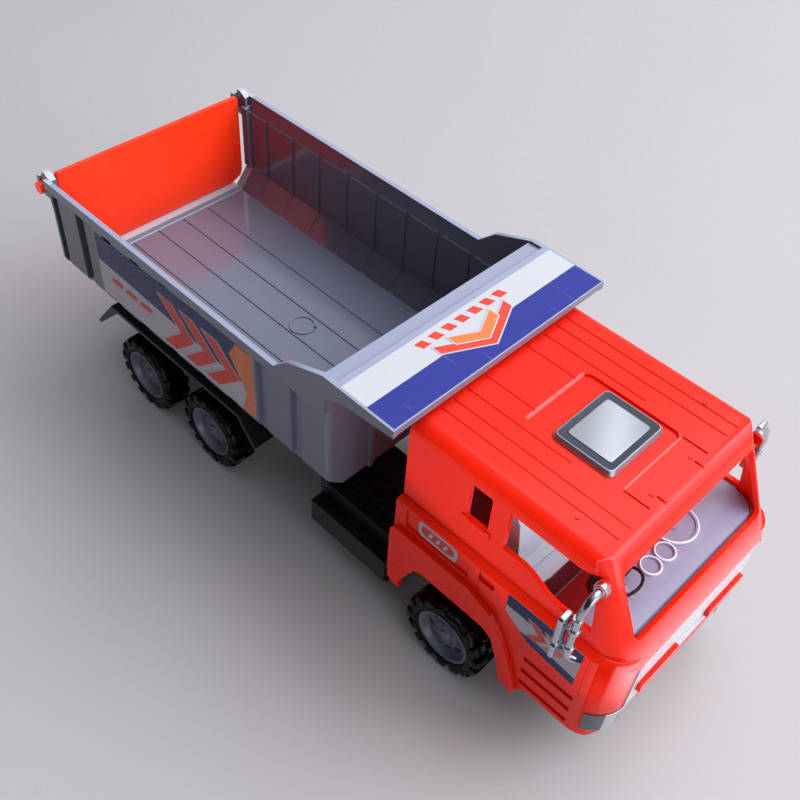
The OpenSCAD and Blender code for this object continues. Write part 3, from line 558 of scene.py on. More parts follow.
def crossing_edges(points):
    """Numbers of the edges where a flat outline crosses itself."""
    count = len(points)
    found = []
    for i in range(count):
        start, end = points[i], points[(i + 1) % count]
        for j in range(i + 2, count):
            if i == 0 and j == count - 1:
                continue
            other, other_end = points[j], points[(j + 1) % count]
            if (max(start.x, end.x) < min(other.x, other_end.x)
                    or max(other.x, other_end.x) < min(start.x, end.x)
                    or max(start.y, end.y) < min(other.y, other_end.y)
                    or max(other.y, other_end.y) < min(start.y, end.y)):
                continue
            edge, other_edge = end - start, other_end - other
            slant = edge.cross(other_edge)
            if abs(slant) < 1e-16:
                continue
            along = (other - start).cross(other_edge) / slant
            other_along = (other - start).cross(edge) / slant
            if -1e-9 <= along <= 1 + 1e-9 and -1e-9 <= other_along <= 1 + 1e-9:
                found.append(i)
    return found


def folded_places(data):
    """Points on the mesh where a face folds over itself."""
    data.calc_loop_triangles()
    drawn_area = {}
    for triangle in data.loop_triangles:
        index = triangle.polygon_index
        drawn_area[index] = drawn_area.get(index, 0.0) + triangle.area
    spots = []
    for polygon in data.polygons:
        if len(polygon.vertices) < 4:
            continue
        corners = [data.vertices[i].co for i in polygon.vertices]
        twice_area = Vector((0, 0, 0))
        for i in range(1, len(corners) - 1):
            twice_area += (corners[i] - corners[0]).cross(corners[i + 1] - corners[0])
        allowed = twice_area.length / 2 * (1 + 2e-3) + 2e-10
        if drawn_area.get(polygon.index, 0.0) <= allowed:
            continue
        normal = twice_area.normalized() if twice_area.length > 0 else polygon.normal
        flatten = normal.to_track_quat("Z", "Y").to_matrix().transposed()
        crossings = crossing_edges([(flatten @ corner).xy for corner in corners])
        if crossings:
            for i in crossings:
                start, end = corners[i], corners[(i + 1) % len(corners)]
                spots.append((start + end) / 2 if (start - end).length < 0.003 else start)
                spots.append(end)
        elif len(corners) <= 6:
            spots.append(sum(corners, Vector()) / len(corners))
        else:
            spots.extend(corners)
    return spots


def narrow_near(spots, sharp, weight, width, drop):
    """Narrows or drops the rounding of edges near the spots; tells whether any changed."""
    tree = kdtree.KDTree(len(spots))
    for i, spot in enumerate(spots):
        tree.insert(spot, i)
    tree.balance()
    changed = False
    for edge in sharp:
        if edge[weight] <= 0:
            continue
        if min(tree.find(vertex.co)[2] for vertex in edge.verts) < width * 2.2:
            edge[weight] = 0.0 if drop or edge[weight] < 0.15 else edge[weight] * 0.45
            changed = True
    return changed


def rounded_data(node, width):
    """Mesh data of the rounded node, with narrower roundings where faces would fold."""
    mesh = bare_mesh(node)
    weight = mesh.edges.layers.float.new("bevel_weight_edge")
    sharp = [edge for edge in mesh.edges if len(edge.link_faces) == 2
             and edge.calc_face_angle(0.0) > math.radians(ROUNDED_DEGREES)]
    for edge in sharp:
        room = min(room_along(loop, forward, width)
                   for loop in edge.link_loops for forward in (True, False))
        edge[weight] = max(0.0, min(1.0, ROOM_SHARE * room / width))
    data = bpy.data.meshes.new(node + "_rounding")
    helper = bpy.data.objects.new(node + "_rounding", data)
    bpy.context.scene.collection.objects.link(helper)
    bevel = helper.modifiers.new("round", "BEVEL")
    bevel.limit_method = "WEIGHT"
    bevel.width = width
    bevel.segments = ROUNDING_SEGMENTS
    bevel.profile = 0.6
    bevel.use_clamp_overlap = False
    bevel.offset_type = "OFFSET"
    for turn in range(ROUNDING_TURNS):
        mesh.to_mesh(data)
        data.update()
        graph = bpy.context.evaluated_depsgraph_get()
        result = bpy.data.meshes.new_from_object(helper.evaluated_get(graph))
        spots = folded_places(result)
        if not spots or turn == ROUNDING_TURNS - 1:
            break
        if not narrow_near(spots, sharp, weight, width, drop=turn >= GENTLE_TURNS):
            break
        bpy.data.meshes.remove(result)
    mesh.free()
    bpy.data.objects.remove(helper)
    return result


def soften(node, width, materials, sharp_degrees=38):
    """Replaces a CAD node by the same solid with rounded edges; width is in mm."""
    data = rounded_data(node, width * MM)
    mesh = bmesh.new()
    mesh.from_mesh(data)
    bpy.data.meshes.remove(data)
    skin = add_object(node + "_skin", mesh, materials, BODY[node], sharp_degrees)
    stand_in(skin, node)
    return skin


SOFTENED = {                            # CAD node: width of the rounding in mm
    "cab_shell": 0.5, "dump_bed": 0.35, "tailgate": 0.4, "chassis": 0.3,
    "cab_interior": 0.4, "seats": 0.9, "front_grille": 0.18}
for node, width in SOFTENED.items():
    soften(node, width, [SLOTS[node]], sharp_degrees=60 if node == "cab_shell" else 38)
lamps = soften("headlights", 0.25, ["lamp_dark", "lamp_clear"])
for polygon in lamps.data.polygons:
    polygon.material_index = 1 if polygon.center.x > LAMP_SPLIT else 0

# ---------------------------------------------------------------------------
# wheels: lugged tyres and dished rims, built ring by ring; all in mm
# ---------------------------------------------------------------------------
WHEEL_RADIUS, TYRE_WIDTH, WIDTH_OVER_TYRES = 21.0, 14.0, 118.0
AXLE_X = {"front": 277.0, "middle": 119.6, "rear": 66.6}     # from the rear end
LUGS = 16                               # tread blocks in a row
# places round one lug where a ring of the tyre is cut, as parts of the pitch
LUG_STEPS = [0.0, 0.05, 0.09, 0.105, 0.125, 0.145, 0.16, 0.25, 0.35, 0.45, 0.55, 0.59,
             0.605, 0.625, 0.645, 0.66, 0.75, 0.87]
# inner half of the tyre: radius and y between lugs, radius and y on a lug; y is 0 at the
# tyre's inner face and TYRE_WIDTH at its outer face
INNER_TYRE = [
    (14.07, 1.3, 14.07, 1.3), (14.5, 0.75, 14.5, 0.75), (15.0, 0.55, 15.0, 0.55),
    (15.3, 0.25, 15.3, 0.25), (15.7, 0.22, 15.7, 0.22), (16.0, 0.5, 16.0, 0.5),
    (16.9, 0.55, 16.9, 0.50), (17.4, 0.7, 17.5, 0.10), (18.0, 1.0, 19.4, 0.18),
    (18.5, 1.6, 20.4, 0.75), (18.8, 2.6, 20.85, 1.8), (18.9, 4.0, 21.0, 3.4),
    (18.9, 5.4, 21.0, 5.6), (18.9, 6.6, 20.95, 6.5), (18.9, 6.85, 19.5, 6.8)]
# the same columns and the row of lugs; the outer half mirrors the inner half
TYRE_PROFILE = (
    [(*station, "inner") for station in INNER_TYRE]
    + [(18.9, TYRE_WIDTH / 2, 18.9, TYRE_WIDTH / 2, "groove")]
    + [(low, TYRE_WIDTH - low_y, top, TYRE_WIDTH - top_y, "outer")
       for low, low_y, top, top_y in reversed(INNER_TYRE)])


def ease(value):
    value = max(0.0, min(1.0, value))
    return value * value * (3 - 2 * value)


def lug(part):
    """Height of the lug, 0 to 1, at a part of the pitch."""
    part %= 1.0
    return ease((part - 0.10) / 0.05) - ease((part - 0.60) / 0.05)


def wheel_point(axle_x, side, radius, y, angle):
    return Vector((from_rear(axle_x) + radius * MM * math.cos(angle),
                   side * (WIDTH_OVER_TYRES / 2 - TYRE_WIDTH + y) * MM,
                   (WHEEL_RADIUS + radius * math.sin(angle)) * MM))


def add_tyre(mesh, axle_x, side, turn):
    rings = []
    for block in range(LUGS):
        for part in LUG_STEPS:
            angle = (block + part) * 2 * math.pi / LUGS + turn
            height = {"outer": lug(part), "inner": lug(part + 0.5), "groove": 0.0}
            rings.append([
                mesh.verts.new(wheel_point(axle_x, side, low + (top - low) * height[row],
                                           low_y + (top_y - low_y) * height[row], angle))
                for low, low_y, top, top_y, row in TYRE_PROFILE])
    count = len(TYRE_PROFILE)
    for i, ring in enumerate(rings):
        following = rings[(i + 1) % len(rings)]
        for j in range(count):
            k = (j + 1) % count
            mesh.faces.new((ring[j], following[j], following[k], ring[k]))


# radius and y of the rim, from the middle of the outer face round to that of the inner one
RIM_PROFILE = [
    (0.0, 12.35), (0.9, 12.35), (1.5, 12.2), (2.2, 12.15), (2.7, 11.9), (2.95, 11.3),
    (3.1, 11.05), (3.6, 10.95), (4.8, 10.95), (5.9, 10.95), (6.25, 10.85), (6.5, 10.5),
    (6.7, 10.15), (6.95, 9.95),
    *((7.15 + 0.2 * i, 9.9) for i in range(19)),             # the flat web with the holes
    (10.95, 9.95), (11.25, 10.15), (11.6, 10.8), (12.0, 12.0), (12.2, 12.7), (12.4, 13.05),
    (12.7, 13.22), (13.2, 13.28), (13.6, 13.2), (13.85, 12.95), (13.97, 12.5), (13.97, 1.6),
    (13.8, 1.0), (13.3, 0.8), (12.8, 1.1), (12.6, 2.0), (12.3, 7.4), (11.8, 7.8), (5.0, 7.6),
    (4.2, 7.2), (4.0, 1.4), (3.6, 1.0), (1.5, 1.0), (0.0, 1.0)]
RIM_STEPS = 160
HOLES = 8
HOLE_RADIUS = 8.95                      # of the circle through the holes' centres
HOLE_HALF_SIZE = (1.25, 1.75)           # along the wheel's radius and round it
HOLE_DEPTH = 1.9


def hole_dip(radius, angle):
    """1 in the middle of a hole, 0 outside."""
    pitch = 2 * math.pi / HOLES
    off = (angle + pitch / 2) % pitch - pitch / 2
    reach = math.hypot((radius - HOLE_RADIUS) / HOLE_HALF_SIZE[0],
                       off * HOLE_RADIUS / HOLE_HALF_SIZE[1])
    return 1.0 - ease((reach - 0.86) / 0.26)


def add_rim(mesh, axle_x, side, turn):
    outer_hub, inner_hub = (mesh.verts.new(wheel_point(axle_x, side, 0, y, 0))
                            for y in (RIM_PROFILE[0][1], RIM_PROFILE[-1][1]))
    rings = []                          # of (vertex, dip)
    for i in range(RIM_STEPS):
        angle = i * 2 * math.pi / RIM_STEPS
        ring = []
        for radius, y in RIM_PROFILE[1:-1]:
            dip = hole_dip(radius, angle) if 7.0 < radius < 11.0 and y > 9 else 0.0
            point = wheel_point(axle_x, side, radius, y - HOLE_DEPTH * dip, angle + turn)
            ring.append((mesh.verts.new(point), dip))
        rings.append(ring)
    for i, ring in enumerate(rings):
        following = rings[(i + 1) % RIM_STEPS]
        mesh.faces.new((outer_hub, ring[0][0], following[0][0]))
        mesh.faces.new((inner_hub, following[-1][0], ring[-1][0]))
        for j in range(len(ring) - 1):
            corners = (ring[j], ring[j + 1], following[j + 1], following[j])
            face = mesh.faces.new([vertex for vertex, _ in corners])
            # faces deep in a hole get the black material, a painted shade standing for the dark
            # inside of the holes
            if min(dip for _, dip in corners) > 0.45:
                face.material_index = 1


NUTS, NUT_CIRCLE, NUT_Y = 5, 4.7, 10.8
NUT_RINGS = [(0.72, 0.0), (0.72, 0.62), (0.55, 0.85)]        # radius, height


def add_nuts(mesh, axle_x, side, turn):
    """Small six-sided nut heads round the hub."""
    for i in range(NUTS):
        centre = wheel_point(axle_x, side, NUT_CIRCLE, NUT_Y, turn + i * 2 * math.pi / NUTS)
        lower, upper, top = rings = [], [], []
        for k in range(6):
            angle = k * math.pi / 3
            for ring, (radius, height) in zip(rings, NUT_RINGS):
                ring.append(mesh.verts.new(centre + Vector((
                    math.cos(angle) * radius * MM, side * height * MM,
                    math.sin(angle) * radius * MM))))
        for k in range(6):
            j = (k + 1) % 6
            mesh.faces.new((lower[k], lower[j], upper[j], upper[k]))
            mesh.faces.new((upper[k], upper[j], top[j], top[k]))
        mesh.faces.new(top)
        mesh.faces.new(list(reversed(lower)))


def wheel_pair(axle, part, add_part, turns, materials, sharp_degrees):
    """One kind of part on the left and the right wheel, each turned a little differently."""
    mesh = bmesh.new()
    axle_x = AXLE_X[axle]
    for side, turn in zip((1, -1), turns):
        add_part(mesh, axle_x, side, turn + axle_x * 0.01)
    return add_object(f"{axle}_{part}", outward(mesh), materials, axle + "_wheels",
                      sharp_degrees)


TYRE_TURNS, RIM_TURNS = (0.13, 0.31), (0.2, 0.5)             # left and right, in radians
for axle in AXLE_X:
    stand_in(wheel_pair(axle, "tyres_lugged", add_tyre, TYRE_TURNS, ["tyre_black"], 42),
             axle + "_tyres")
    stand_in(wheel_pair(axle, "rims_dished", add_rim, RIM_TURNS,
                        ["rim_grey", "chassis_black"], 40), axle + "_rims")
    wheel_pair(axle, "hub_nuts", add_nuts, RIM_TURNS, ["rim_grey"], 30)

# ---------------------------------------------------------------------------
# stickers: thin cut film, one layer of ink over another; outlines in mm, x from the rear end
# ---------------------------------------------------------------------------
INK_OVERLAP = 0.02                      # how far each layer reaches into the base film


def slab(mesh, outline, upright, start, end, index):
    """Prism over a flat outline: across y from an upright (x, z) one, else up z from (x, y)."""
    def ring(depth):
        return [mesh.verts.new(Vector((from_rear(x), depth * MM, other * MM) if upright
                                      else (from_rear(x), other * MM, depth * MM)))
                for x, other in outline]
    near, far = ring(start), ring(end)
    faces = [mesh.faces.new(near), mesh.faces.new(list(reversed(far)))]
    for i in range(len(outline)):
        j = (i + 1) % len(outline)
        faces.append(mesh.faces.new((near[i], far[i], far[j], near[j])))
    for face in faces:
        face.material_index = index
    bmesh.ops.recalc_face_normals(mesh, faces=faces)


def round_rect(left, bottom, right, top, radius, steps=6):
    corners = ((right - radius, top - radius, 0), (left + radius, top - radius, 90),
               (left + radius, bottom + radius, 180), (right - radius, bottom + radius, 270))
    outline = []
    for x, y, start in corners:
        for i in range(steps + 1):
            angle = math.radians(start + 90 * i / steps)
            outline.append((x + radius * math.cos(angle), y + radius * math.sin(angle)))
    return outline


def chevron(x, low, length, height, thick):
    """Arrow-shaped stripe that points to +x, lower edge at low."""
    middle, high = low + height / 2, low + height
    return [(x, low), (x + thick, low), (x + thick + length, middle), (x + thick, high),
            (x, high), (x + length, middle)]


def leaning_bar(x, z, width, height, lean):
    return [(x, z), (x + width, z), (x + width + lean, z + height), (x + lean, z + height)]


def grow(outline, distance):
    """An anticlockwise outline grown by a distance."""
    grown = []
    for i in range(len(outline)):
        before, here, after = (Vector(outline[j % len(outline)]) for j in (i - 1, i, i + 1))
        arrive, leave = (here - before).normalized(), (after - here).normalized()
        push = Vector((arrive.y, -arrive.x)) + Vector((leave.y, -leave.x))
        factor = 2 * distance / max(push.length_squared, 0.5)
        grown.append((here.x + push.x * factor, here.y + push.y * factor))
    return grown


def bordered(outline, ink, border, border_ink):
    """Two layers: a printed shape over the line of other ink that shows round it."""
    return [(grow(outline, border), border_ink), (outline, ink)]


def film(name, body, node, base, layers, depth, upright=True, step=0.03):
    """A base and layers of (outline, ink), each one step proud of the one below.

    depth is where the base starts and ends; an upright film is made on both sides.
    """
    mesh = bmesh.new()
    inks = list(dict.fromkeys(ink for _, ink in [base, *layers]))
    inner, outer = depth
    for side in ((1, -1) if upright else (1,)):
        slab(mesh, base[0], upright, side * inner, side * outer, 0)
        for i, (outline, ink) in enumerate(layers):
            slab(mesh, outline, upright, side * (outer - INK_OVERLAP),
                 side * (outer + step * (i + 1)), inks.index(ink))
    stand_in(add_object(name, mesh, inks, body, 20, weighted=False), node)


def canopy_film():
    """Pale band at the back, blue band at the front, nested chevrons in the middle."""
    back, split, front, half = 216.0, 230.0, 244.4, 61.8
    chevron_x = 224.6
    layers = [([(split, -half), (front, -half), (front, half), (split, half)], "sticker")]
    for i in range(7):                  # a row of slanted dashes behind the chevrons
        y = -25.5 + i * 7.6
        layers.append(([(218.6, y), (222.6, y + 1.6), (222.6, y + 6.0), (218.6, y + 4.4)],
                       "ink_red"))
    for reach, length, thick, ink in ((21.0, 10.5, 4.6, "ink_red"),
                                      (12.4, 6.2, 4.8, "ink_orange")):
        layers += bordered(chevron(chevron_x, -reach, length, 2 * reach, thick), ink,
                           border=0.55, border_ink="ink_white")
    base = [(back, -half), (front, -half), (front, half), (back, half)]
    film("canopy_film", "bed", "canopy_sticker", (base, "ink_white"), layers,
         depth=(129.7, 129.75), upright=False, step=0.24 / len(layers))


def bed_side_films():
    """Navy over pale, chevrons toward the cab and an orange end."""
    rear, front, low, rear_top, front_top = 47.0, 162.0, 67.5, 103.0, 105.5
    layers = [
        ([(rear, 88.0), (100.0, 86.0), (front, 84.0), (front, front_top), (rear, rear_top)],
         "ink_navy"),
        ([(146.0, 96.0), (151.0, 105.2), (front, front_top), (front, low), (153.5, low),
          (157.0, 80.0)], "ink_orange")]
    for i in range(3):
        stripe = chevron(96.0 + 16.0 * i, 69.5 + i * 0.6, length=15.0, height=28.0 - i * 0.6,
                         thick=9.5)
        layers += bordered(stripe, "ink_red", border=0.6, border_ink="ink_pale")
    for i in range(3):
        bar = leaning_bar(56.0 + i * 11.5, 79.6, width=8.5, height=2.4, lean=1.2)
        layers.append((bar, "ink_red"))
    base = [(rear, low), (front, low), (front, front_top), (rear, rear_top)]
    film("bed_side_films", "bed", "bed_side_stickers", (base, "ink_pale"), layers,
         depth=(61.0, 61.25))


def door_films():
    """Bands and chevrons over a plate with a slanted lower edge."""
    base = [(301.0, 77.8), (301.0, 67.0), (314.0, 58.0), (336.0, 55.5), (336.5, 77.8)]
    layers = [
        ([(301.0, 70.8), (334.5, 70.8), (336.5, 72.5), (336.5, 77.8), (301.0, 77.8)],
         "ink_navy"),
        ([(309.0, 61.5), (314.0, 58.0), (336.0, 55.5), (336.1, 60.2), (316.5, 62.4)],
         "ink_navy")]
    for x, ink in ((312.0, "ink_red"), (320.0, "ink_orange")):
        stripe = [(x, 62.6), (x + 4.2, 62.4), (x + 9.5, 67.6), (x + 4.2, 72.8), (x, 72.8),
                  (x + 5.2, 67.6)]
        layers += bordered(stripe, ink, border=0.4, border_ink="ink_pale")
    film("door_films", "chassis", "door_stickers", (base, "ink_pale"), layers,
         depth=(53.5, 53.75))


def badge_films():
    """Small badge plates behind the doors, with three leaning bars."""
    layers = [(round_rect(255.2, 69.5, 272.8, 75.3, radius=2.7), "ink_red")]
    for x in (259.0, 263.0, 267.0):
        layers.append((leaning_bar(x, 70.9, width=1.5, height=3.0, lean=1.2), "ink_white"))
    base = round_rect(253.5, 68.0, 274.5, 76.8, radius=2.5)
    film("badge_films", "chassis", "cab_badges", (base, "ink_pale"), layers,
         depth=(52.82, 53.1))


canopy_film()
bed_side_films()
door_films()
badge_films()


# ---------------------------------------------------------------------------
# lofted shapes
# ---------------------------------------------------------------------------

def loft(mesh, rings):
    """Joins outlines of equal length and closes both ends.

    Each ring is (points, material index of the band that follows it).
    """
    rows = [([mesh.verts.new(point) for point in points], index) for points, index in rings]
    for (ring, index), (following, _) in zip(rows, rows[1:]):
        for i in range(len(ring)):
            j = (i + 1) % len(ring)
            face = mesh.faces.new((ring[i], ring[j], following[j], following[i]))
            face.material_index = index
    mesh.faces.new(list(reversed(rows[0][0]))).material_index = rows[0][1]
    mesh.faces.new(rows[-1][0]).material_index = rows[-1][1]


def circle(centre, side, other_side, radius, count):
    angles = (2 * math.pi * k / count for k in range(count))
    return [centre + (side * math.cos(angle) + other_side * math.sin(angle)) * radius
            for angle in angles]


def tube(mesh, path, radius_at, sides=24):
    """Round bar along a path; radius_at gives the radius for 0 (start) to 1 (end)."""
    rings = []
    side = None
    last = len(path) - 1
    for i, point in enumerate(path):
        direction = (path[min(i + 1, last)] - path[max(i - 1, 0)]).normalized()
        side = (direction.orthogonal() if side is None
                else side - direction * side.dot(direction)).normalized()
        rings.append((circle(point, side, direction.cross(side), radius_at(i / last), sides), 0))
    loft(mesh, rings)


def ring_stack(mesh, centre, axis, stack, sides=40):
    """Turned piece: stack holds (radius, height along the axis) in mm."""
    axis = axis.normalized()
    side = axis.orthogonal().normalized()
    other_side = axis.cross(side)
    loft(mesh, [(circle(centre + axis * height * MM, side, other_side, radius * MM, sides), 0)
                for radius, height in stack])


# ---------------------------------------------------------------------------
# roof hatch: bevelled silver border, dark sloping ring, brushed plate
# ---------------------------------------------------------------------------
EDGE, TRIM = 0, 1                       # material indices of the border
# inset in x, inset in y, corner radius, height above HATCH_Z, material of the next band
BORDER_RINGS = [
    (4.2, 4.7, 1.0, 0.2, TRIM), (4.0, 4.0, 1.0, -3.4, TRIM), (2.6, 2.6, 1.4, -3.4, TRIM),
    (2.6, 2.6, 1.4, 0.0, EDGE), (0.0, 0.0, 3.0, 0.0, EDGE), (0.0, 0.0, 3.0, 0.35, EDGE),
    (0.12, 0.12, 2.9, 0.62, EDGE), (0.85, 0.85, 2.5, 1.95, EDGE), (1.0, 1.0, 2.4, 2.2, EDGE),
    (1.2, 1.2, 2.3, 2.36, EDGE), (1.45, 1.45, 2.2, 2.38, TRIM), (1.7, 1.75, 2.1, 2.28, TRIM),
    (3.4, 4.0, 1.7, 2.10, TRIM), (3.9, 4.6, 1.6, 2.06, TRIM), (3.98, 4.68, 1.6, 1.8, TRIM)]
PLATE_RINGS = [
    (4.02, 4.72, 1.6, 1.8, 0), (4.02, 4.72, 1.6, 2.16, 0), (4.1, 4.8, 1.55, 2.3, 0),
    (4.28, 4.98, 1.4, 2.4, 0), (4.6, 5.3, 1.3, 2.44, 0)]


def add_hatch_part(name, node, materials, table):
    mesh = bmesh.new()
    rings = []
    for inset_x, inset_y, radius, height, index in table:
        half_x, half_y = HATCH_LENGTH / 2 - inset_x, HATCH_WIDTH / 2 - inset_y
        outline = round_rect(-half_x, -half_y, half_x, half_y, radius, steps=8)
        rings.append(([Vector((from_rear(HATCH_X + x), y * MM, (HATCH_Z + height) * MM))
                       for x, y in outline], index))
    loft(mesh, rings)
    stand_in(add_object(name, outward(mesh), materials, "chassis", 40), node)


add_hatch_part("roof_hatch_border", "roof_hatch_frame", ["hatch_edge", "hatch_trim"],
               BORDER_RINGS)
add_hatch_part("roof_hatch_foil", "roof_hatch_plate", ["hatch_silver"], PLATE_RINGS)

# ---------------------------------------------------------------------------
# mirrors: one bent chrome rod, rings, a two-part head; mm, y away from the middle
# ---------------------------------------------------------------------------
ROD_RADIUS = 1.62
ROD_PATH = [                            # x from the rear end, y, z
    (333, 49.7, 114), (333, 52.2, 114.05), (333, 54.6, 113.85), (332.9, 56.8, 112.5),
    (332.7, 58.6, 109.6), (332.5, 59.7, 105.5), (332.4, 60.1, 101), (332.35, 60.2, 96),
    (332.3, 60.2, 90), (332.3, 60.3, 85.5), (332.8, 60.4, 82.8), (334.3, 60.0, 81.9),
    (336.0, 59.4, 81.7)]
ROD_FOOT = [                            # radius, height outward along y
    (1.6, -0.9), (2.75, -0.9), (2.95, -0.6), (2.95, 1.0), (2.8, 1.35), (2.3, 1.5),
    (2.15, 1.9), (1.6, 2.1)]
ROD_RINGS = [(98.0, 2.15), (87.0, 2.15), (104.6, 1.9)]       # z, radius
CLIP_HEIGHTS = (87.0, 98.0)
HEAD_REAR_X, HEAD_INNER_Y, HEAD_OUTER_Y = 328.2, 60.4, 66.9
HEAD_HEIGHTS = [(92.6, 108.6), (83.1, 91.9)]                 # bottom and top of each part
# inset, distance ahead of the head's rear face, material (1: glass)
HEAD_RINGS = [(1.15, 0.45, 1), (0.95, 0.35, 0), (0.8, 0.0, 0), (0.35, 0.0, 0),
              (0.08, 0.18, 0), (0.0, 0.5, 0), (0.0, 1.5, 0), (0.2, 1.95, 0), (0.7, 2.2, 0)]


def smooth_path(points, steps=7):
    """Curve through the points."""
    curve = []
    last = len(points) - 1
    for i in range(last):
        before, start, end, after = (points[min(max(j, 0), last)] for j in range(i - 1, i + 3))
        for k in range(steps):
            t = k / steps
            curve.append(0.5 * ((2 * start) + (end - before) * t
                                + (2 * before - 5 * start + 4 * end - after) * t * t
                                + (3 * start - before - 3 * end + after) * t ** 3))
    curve.append(points[-1])
    return curve


def rod_radius(part):
    """Even at first, narrowing toward the lower end."""
    return (ROD_RADIUS if part < 0.86 else ROD_RADIUS - (part - 0.86) * 2.2) * MM


def mirror_point(side, x, y, z):
    return Vector((from_rear(x), side * y * MM, z * MM))


def head_block(mesh, side, bottom, top):
    """A rounded slab with a raised rim and a shallow glass face towards the rear."""
    rings = []
    for inset, ahead, index in HEAD_RINGS:
        outline = round_rect(HEAD_INNER_Y + inset, bottom + inset, HEAD_OUTER_Y - inset,
                             top - inset, 1.5 - inset * 0.5)
        rings.append(([mirror_point(side, HEAD_REAR_X + ahead, y, z) for y, z in outline],
                      index))
    loft(mesh, rings)


def add_mirror(side, name):
    mesh = bmesh.new()
    tube(mesh, smooth_path([mirror_point(side, *point) for point in ROD_PATH]), rod_radius)
    ring_stack(mesh, mirror_point(side, 333, 50.4, 114), Vector((0, side, 0)), ROD_FOOT)
    for z, radius in ROD_RINGS:
        ring_stack(mesh, mirror_point(side, 332.4, 60.15, z), Vector((0, 0, 1)),
                   [(1.5, -1.2), (radius - 0.25, -1.2), (radius, -0.95), (radius, 0.95),
                    (radius - 0.25, 1.2), (1.5, 1.2)])
    for bottom, top in HEAD_HEIGHTS:
        head_block(mesh, side, bottom, top)
    clip = round_rect(-0.85, -0.8, 0.85, 0.8, radius=0.35, steps=4)
    for height in CLIP_HEIGHTS:         # clips between the rod and the head
        loft(mesh, [([mirror_point(side, x, 60.6 + y, height + z) for y, z in clip], 0)
                    for x in (330.0, 331.0, 331.9)])
    stand_in(add_object(name + "_chrome", outward(mesh), ["chrome_trim", "lamp_clear"],
                        "chassis", 35), name)


add_mirror(1, "mirror_left")
add_mirror(-1, "mirror_right")

# ---------------------------------------------------------------------------
# inside of the cab: thin-rimmed steering wheel and printed dial rings
# ---------------------------------------------------------------------------
COLUMN_FOOT = Vector((from_rear(331.9), -0.027, 0.083))
COLUMN_TILT = math.radians(-30)         # toward the rear
COLUMN_AXIS = Vector((math.sin(COLUMN_TILT), 0, math.cos(COLUMN_TILT)))
COLUMN_FORWARD = Vector((math.cos(COLUMN_TILT), 0, -math.sin(COLUMN_TILT)))
COLUMN_LEFT = Vector((0, 1, 0))
STEERING_RADIUS, STEERING_HEIGHT = 9.5, 6.8                  # mm, height along the column
STEERING_STEPS, GRIP_STEPS = 96, 14                          # round the wheel, round its rim
SPOKE_ANGLES = (math.pi / 2, 7 * math.pi / 6, 11 * math.pi / 6)
SPOKE = [(1.2, 6.6), (3.0, 6.7), (5.0, 6.6), (7.2, 6.7), (9.3, 6.8)]     # radius, height
STEERING_HUB = [                                                         # radius, height
    (1.2, 2.6), (1.2, 5.4), (2.3, 5.6), (2.6, 6.0), (2.6, 7.2), (2.4, 7.6), (1.9, 7.8),
    (0.4, 7.85)]


def steering_point(radius, angle, height):
    out = COLUMN_FORWARD * math.cos(angle) + COLUMN_LEFT * math.sin(angle)
    return COLUMN_FOOT + COLUMN_AXIS * height * MM + out * radius * MM


def add_steering_wheel():
    mesh = bmesh.new()
    rings = []
    for i in range(STEERING_STEPS):
        angle = 2 * math.pi * i / STEERING_STEPS
        grip = 0.64 + 0.05 * math.cos(angle * 24)            # finger grips on the rim
        around = [2 * math.pi * k / GRIP_STEPS for k in range(GRIP_STEPS)]
        rings.append([mesh.verts.new(steering_point(STEERING_RADIUS + grip * math.cos(turn),
                                                    angle,
                                                    STEERING_HEIGHT + grip * math.sin(turn)))
                      for turn in around])
    for i, ring in enumerate(rings):
        following = rings[(i + 1) % STEERING_STEPS]
        for k in range(GRIP_STEPS):
            j = (k + 1) % GRIP_STEPS
            mesh.faces.new((ring[k], following[k], following[j], ring[j]))
    for angle in SPOKE_ANGLES:
        tube(mesh, [steering_point(radius, angle, height) for radius, height in SPOKE],
             lambda part: (0.85 - 0.3 * part) * MM, sides=12)
    ring_stack(mesh, COLUMN_FOOT, COLUMN_AXIS, STEERING_HUB)
    stand_in(add_object("steering_wheel_rim", outward(mesh), ["wheel_dark"], "chassis", 40),
             "steering_wheel")


# x from the rear end, y, radius, height of the ring's shoulder; mm
DIALS = [(332.6, -0.8, 4.3, 87.2), (332.6, -10.2, 4.3, 87.2), (327.0, 13.0, 10.0, 87.4)]


def add_dials():
    """A pale raised ring round a sunk face for each dial."""
    mesh = bmesh.new()
    for x, y, radius, z in DIALS:
        ring_stack(mesh, Vector((from_rear(x), y * MM, 0)), Vector((0, 0, 1)),
                   [(radius + 0.02, z - 1.1), (radius + 0.05, z), (radius - 0.05, z + 0.1),
                    (radius - 0.2, z + 0.14), (radius - 0.38, z + 0.1),
                    (radius - 0.42, z - 0.5), (radius * 0.55, z - 0.62),
                    (radius * 0.5, z - 0.62)], sides=72)
    for face in outward(mesh).faces:
        centre = face.calc_center_median()
        nearest = min(math.hypot(centre.x - from_rear(x), centre.y - y * MM) / (radius * MM)
                      for x, y, radius, _ in DIALS)
        face.material_index = 1 if nearest < 0.89 else 0
    add_object("dial_rings", mesh, ["dial_line", "interior_lilac"], "chassis", 35)


add_steering_wheel()
add_dials()


# ---------------------------------------------------------------------------
# stage, light, camera
# ---------------------------------------------------------------------------

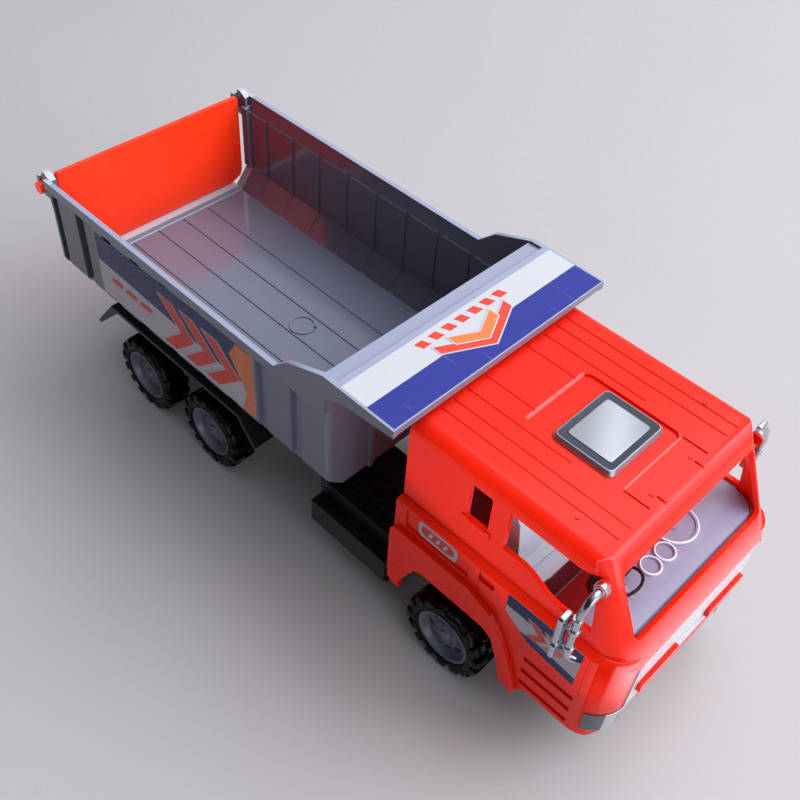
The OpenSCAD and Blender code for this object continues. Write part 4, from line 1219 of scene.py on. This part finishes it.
def make_floor():
    net = material("floor_tile")
    cloud = net.noise(scale=2.2, detail=4)
    fine = net.noise(scale=300, detail=2)
    net.set({"Base Color": net.mix(net.ramp(cloud, between=(0.3, 0.7)),
                                   (0.485, 0.477, 0.498), (0.515, 0.507, 0.53)),
             "Roughness": net.ramp(fine, between=(0.3, 0.7), to=(0.30, 0.38)),
             "IOR": 1.5, "Specular IOR Level": 0.28})
    mesh = bmesh.new()
    bmesh.ops.create_grid(mesh, x_segments=24, y_segments=24, size=4.0)
    data = bpy.data.meshes.new("floor")
    mesh.to_mesh(data)
    mesh.free()
    data.materials.append(MATERIALS["floor_tile"])
    floor = bpy.data.objects.new("floor", data)
    bpy.context.scene.collection.objects.link(floor)


def make_world():
    """Light from the upper left, a bright wall ahead, a plain backdrop for the camera."""
    world = bpy.data.worlds.new("studio")
    bpy.context.scene.world = world
    net = Net(world, "OutputWorld", "Background")
    view = net.add("TexCoord").outputs["Generated"]
    left = net.soft_ramp(net.dot(view, direction=(0.20, 0.70, 0.66)), between=(-0.15, 0.95))
    colour = net.mix(left, (0.035, 0.035, 0.042), (1.25, 1.26, 1.32))
    wall = net.soft_ramp(net.dot(view, direction=(0.97, -0.10, 0.16)), between=(0.80, 0.95))
    colour = net.mix(wall, colour, (2.8, 2.7, 2.75))
    level = net.soft_ramp(net.split(view)["Z"], between=(0.0, 0.35))
    backdrop = net.mix(level, (0.80, 0.80, 0.83), (0.62, 0.62, 0.66))
    seen = net.add("LightPath").outputs["Is Camera Ray"]
    net.set({"Color": net.mix(seen, colour, backdrop), "Strength": 0.66})


def add_area_light(name, location, target, size, energy, color):
    light = bpy.data.lights.new(name, "AREA")
    light.shape = "RECTANGLE"
    light.size, light.size_y = size
    light.energy = energy
    light.color = color
    lamp = bpy.data.objects.new(name, light)
    lamp.location = location
    lamp.rotation_mode = "QUATERNION"
    aim = Vector(target) - Vector(location)
    lamp.rotation_quaternion = aim.to_track_quat("-Z", "Y")
    bpy.context.scene.collection.objects.link(lamp)
    return lamp


def make_camera():
    """Looks down on the truck from the front right, rolled a little."""
    location = Vector((0.22674, -0.24207, 0.40014))
    forward = Vector((-0.4535, 0.5159, -0.7268)).normalized()
    roll = 0.083
    level_right = forward.cross(Vector((0, 0, 1))).normalized()
    level_up = level_right.cross(forward)
    right = math.cos(roll) * level_right + math.sin(roll) * level_up
    up = -math.sin(roll) * level_right + math.cos(roll) * level_up
    data = bpy.data.cameras.new("camera")
    data.sensor_width = 36
    data.lens = 45.44
    data.clip_start = 0.01
    camera = bpy.data.objects.new("camera", data)
    pose = Matrix((right, up, -forward)).transposed().to_4x4()
    pose.translation = location
    camera.matrix_world = pose
    bpy.context.scene.collection.objects.link(camera)
    bpy.context.scene.camera = camera


make_floor()
make_world()
window = add_area_light("window", location=(1.02, 0.98, 1.15), target=(0.0, 0, 0.05),
                        size=(1.3, 1.0), energy=22, color=(1.0, 0.985, 0.97))
window.visible_glossy = False
add_area_light("ceiling", location=(0.28, 0.55, 1.6), target=(-0.05, 0, 0),
               size=(1.8, 1.3), energy=13, color=(0.96, 0.98, 1.0))
make_camera()
bpy.context.scene.view_settings.view_transform = "Standard"
bpy.context.scene.view_settings.look = "None"
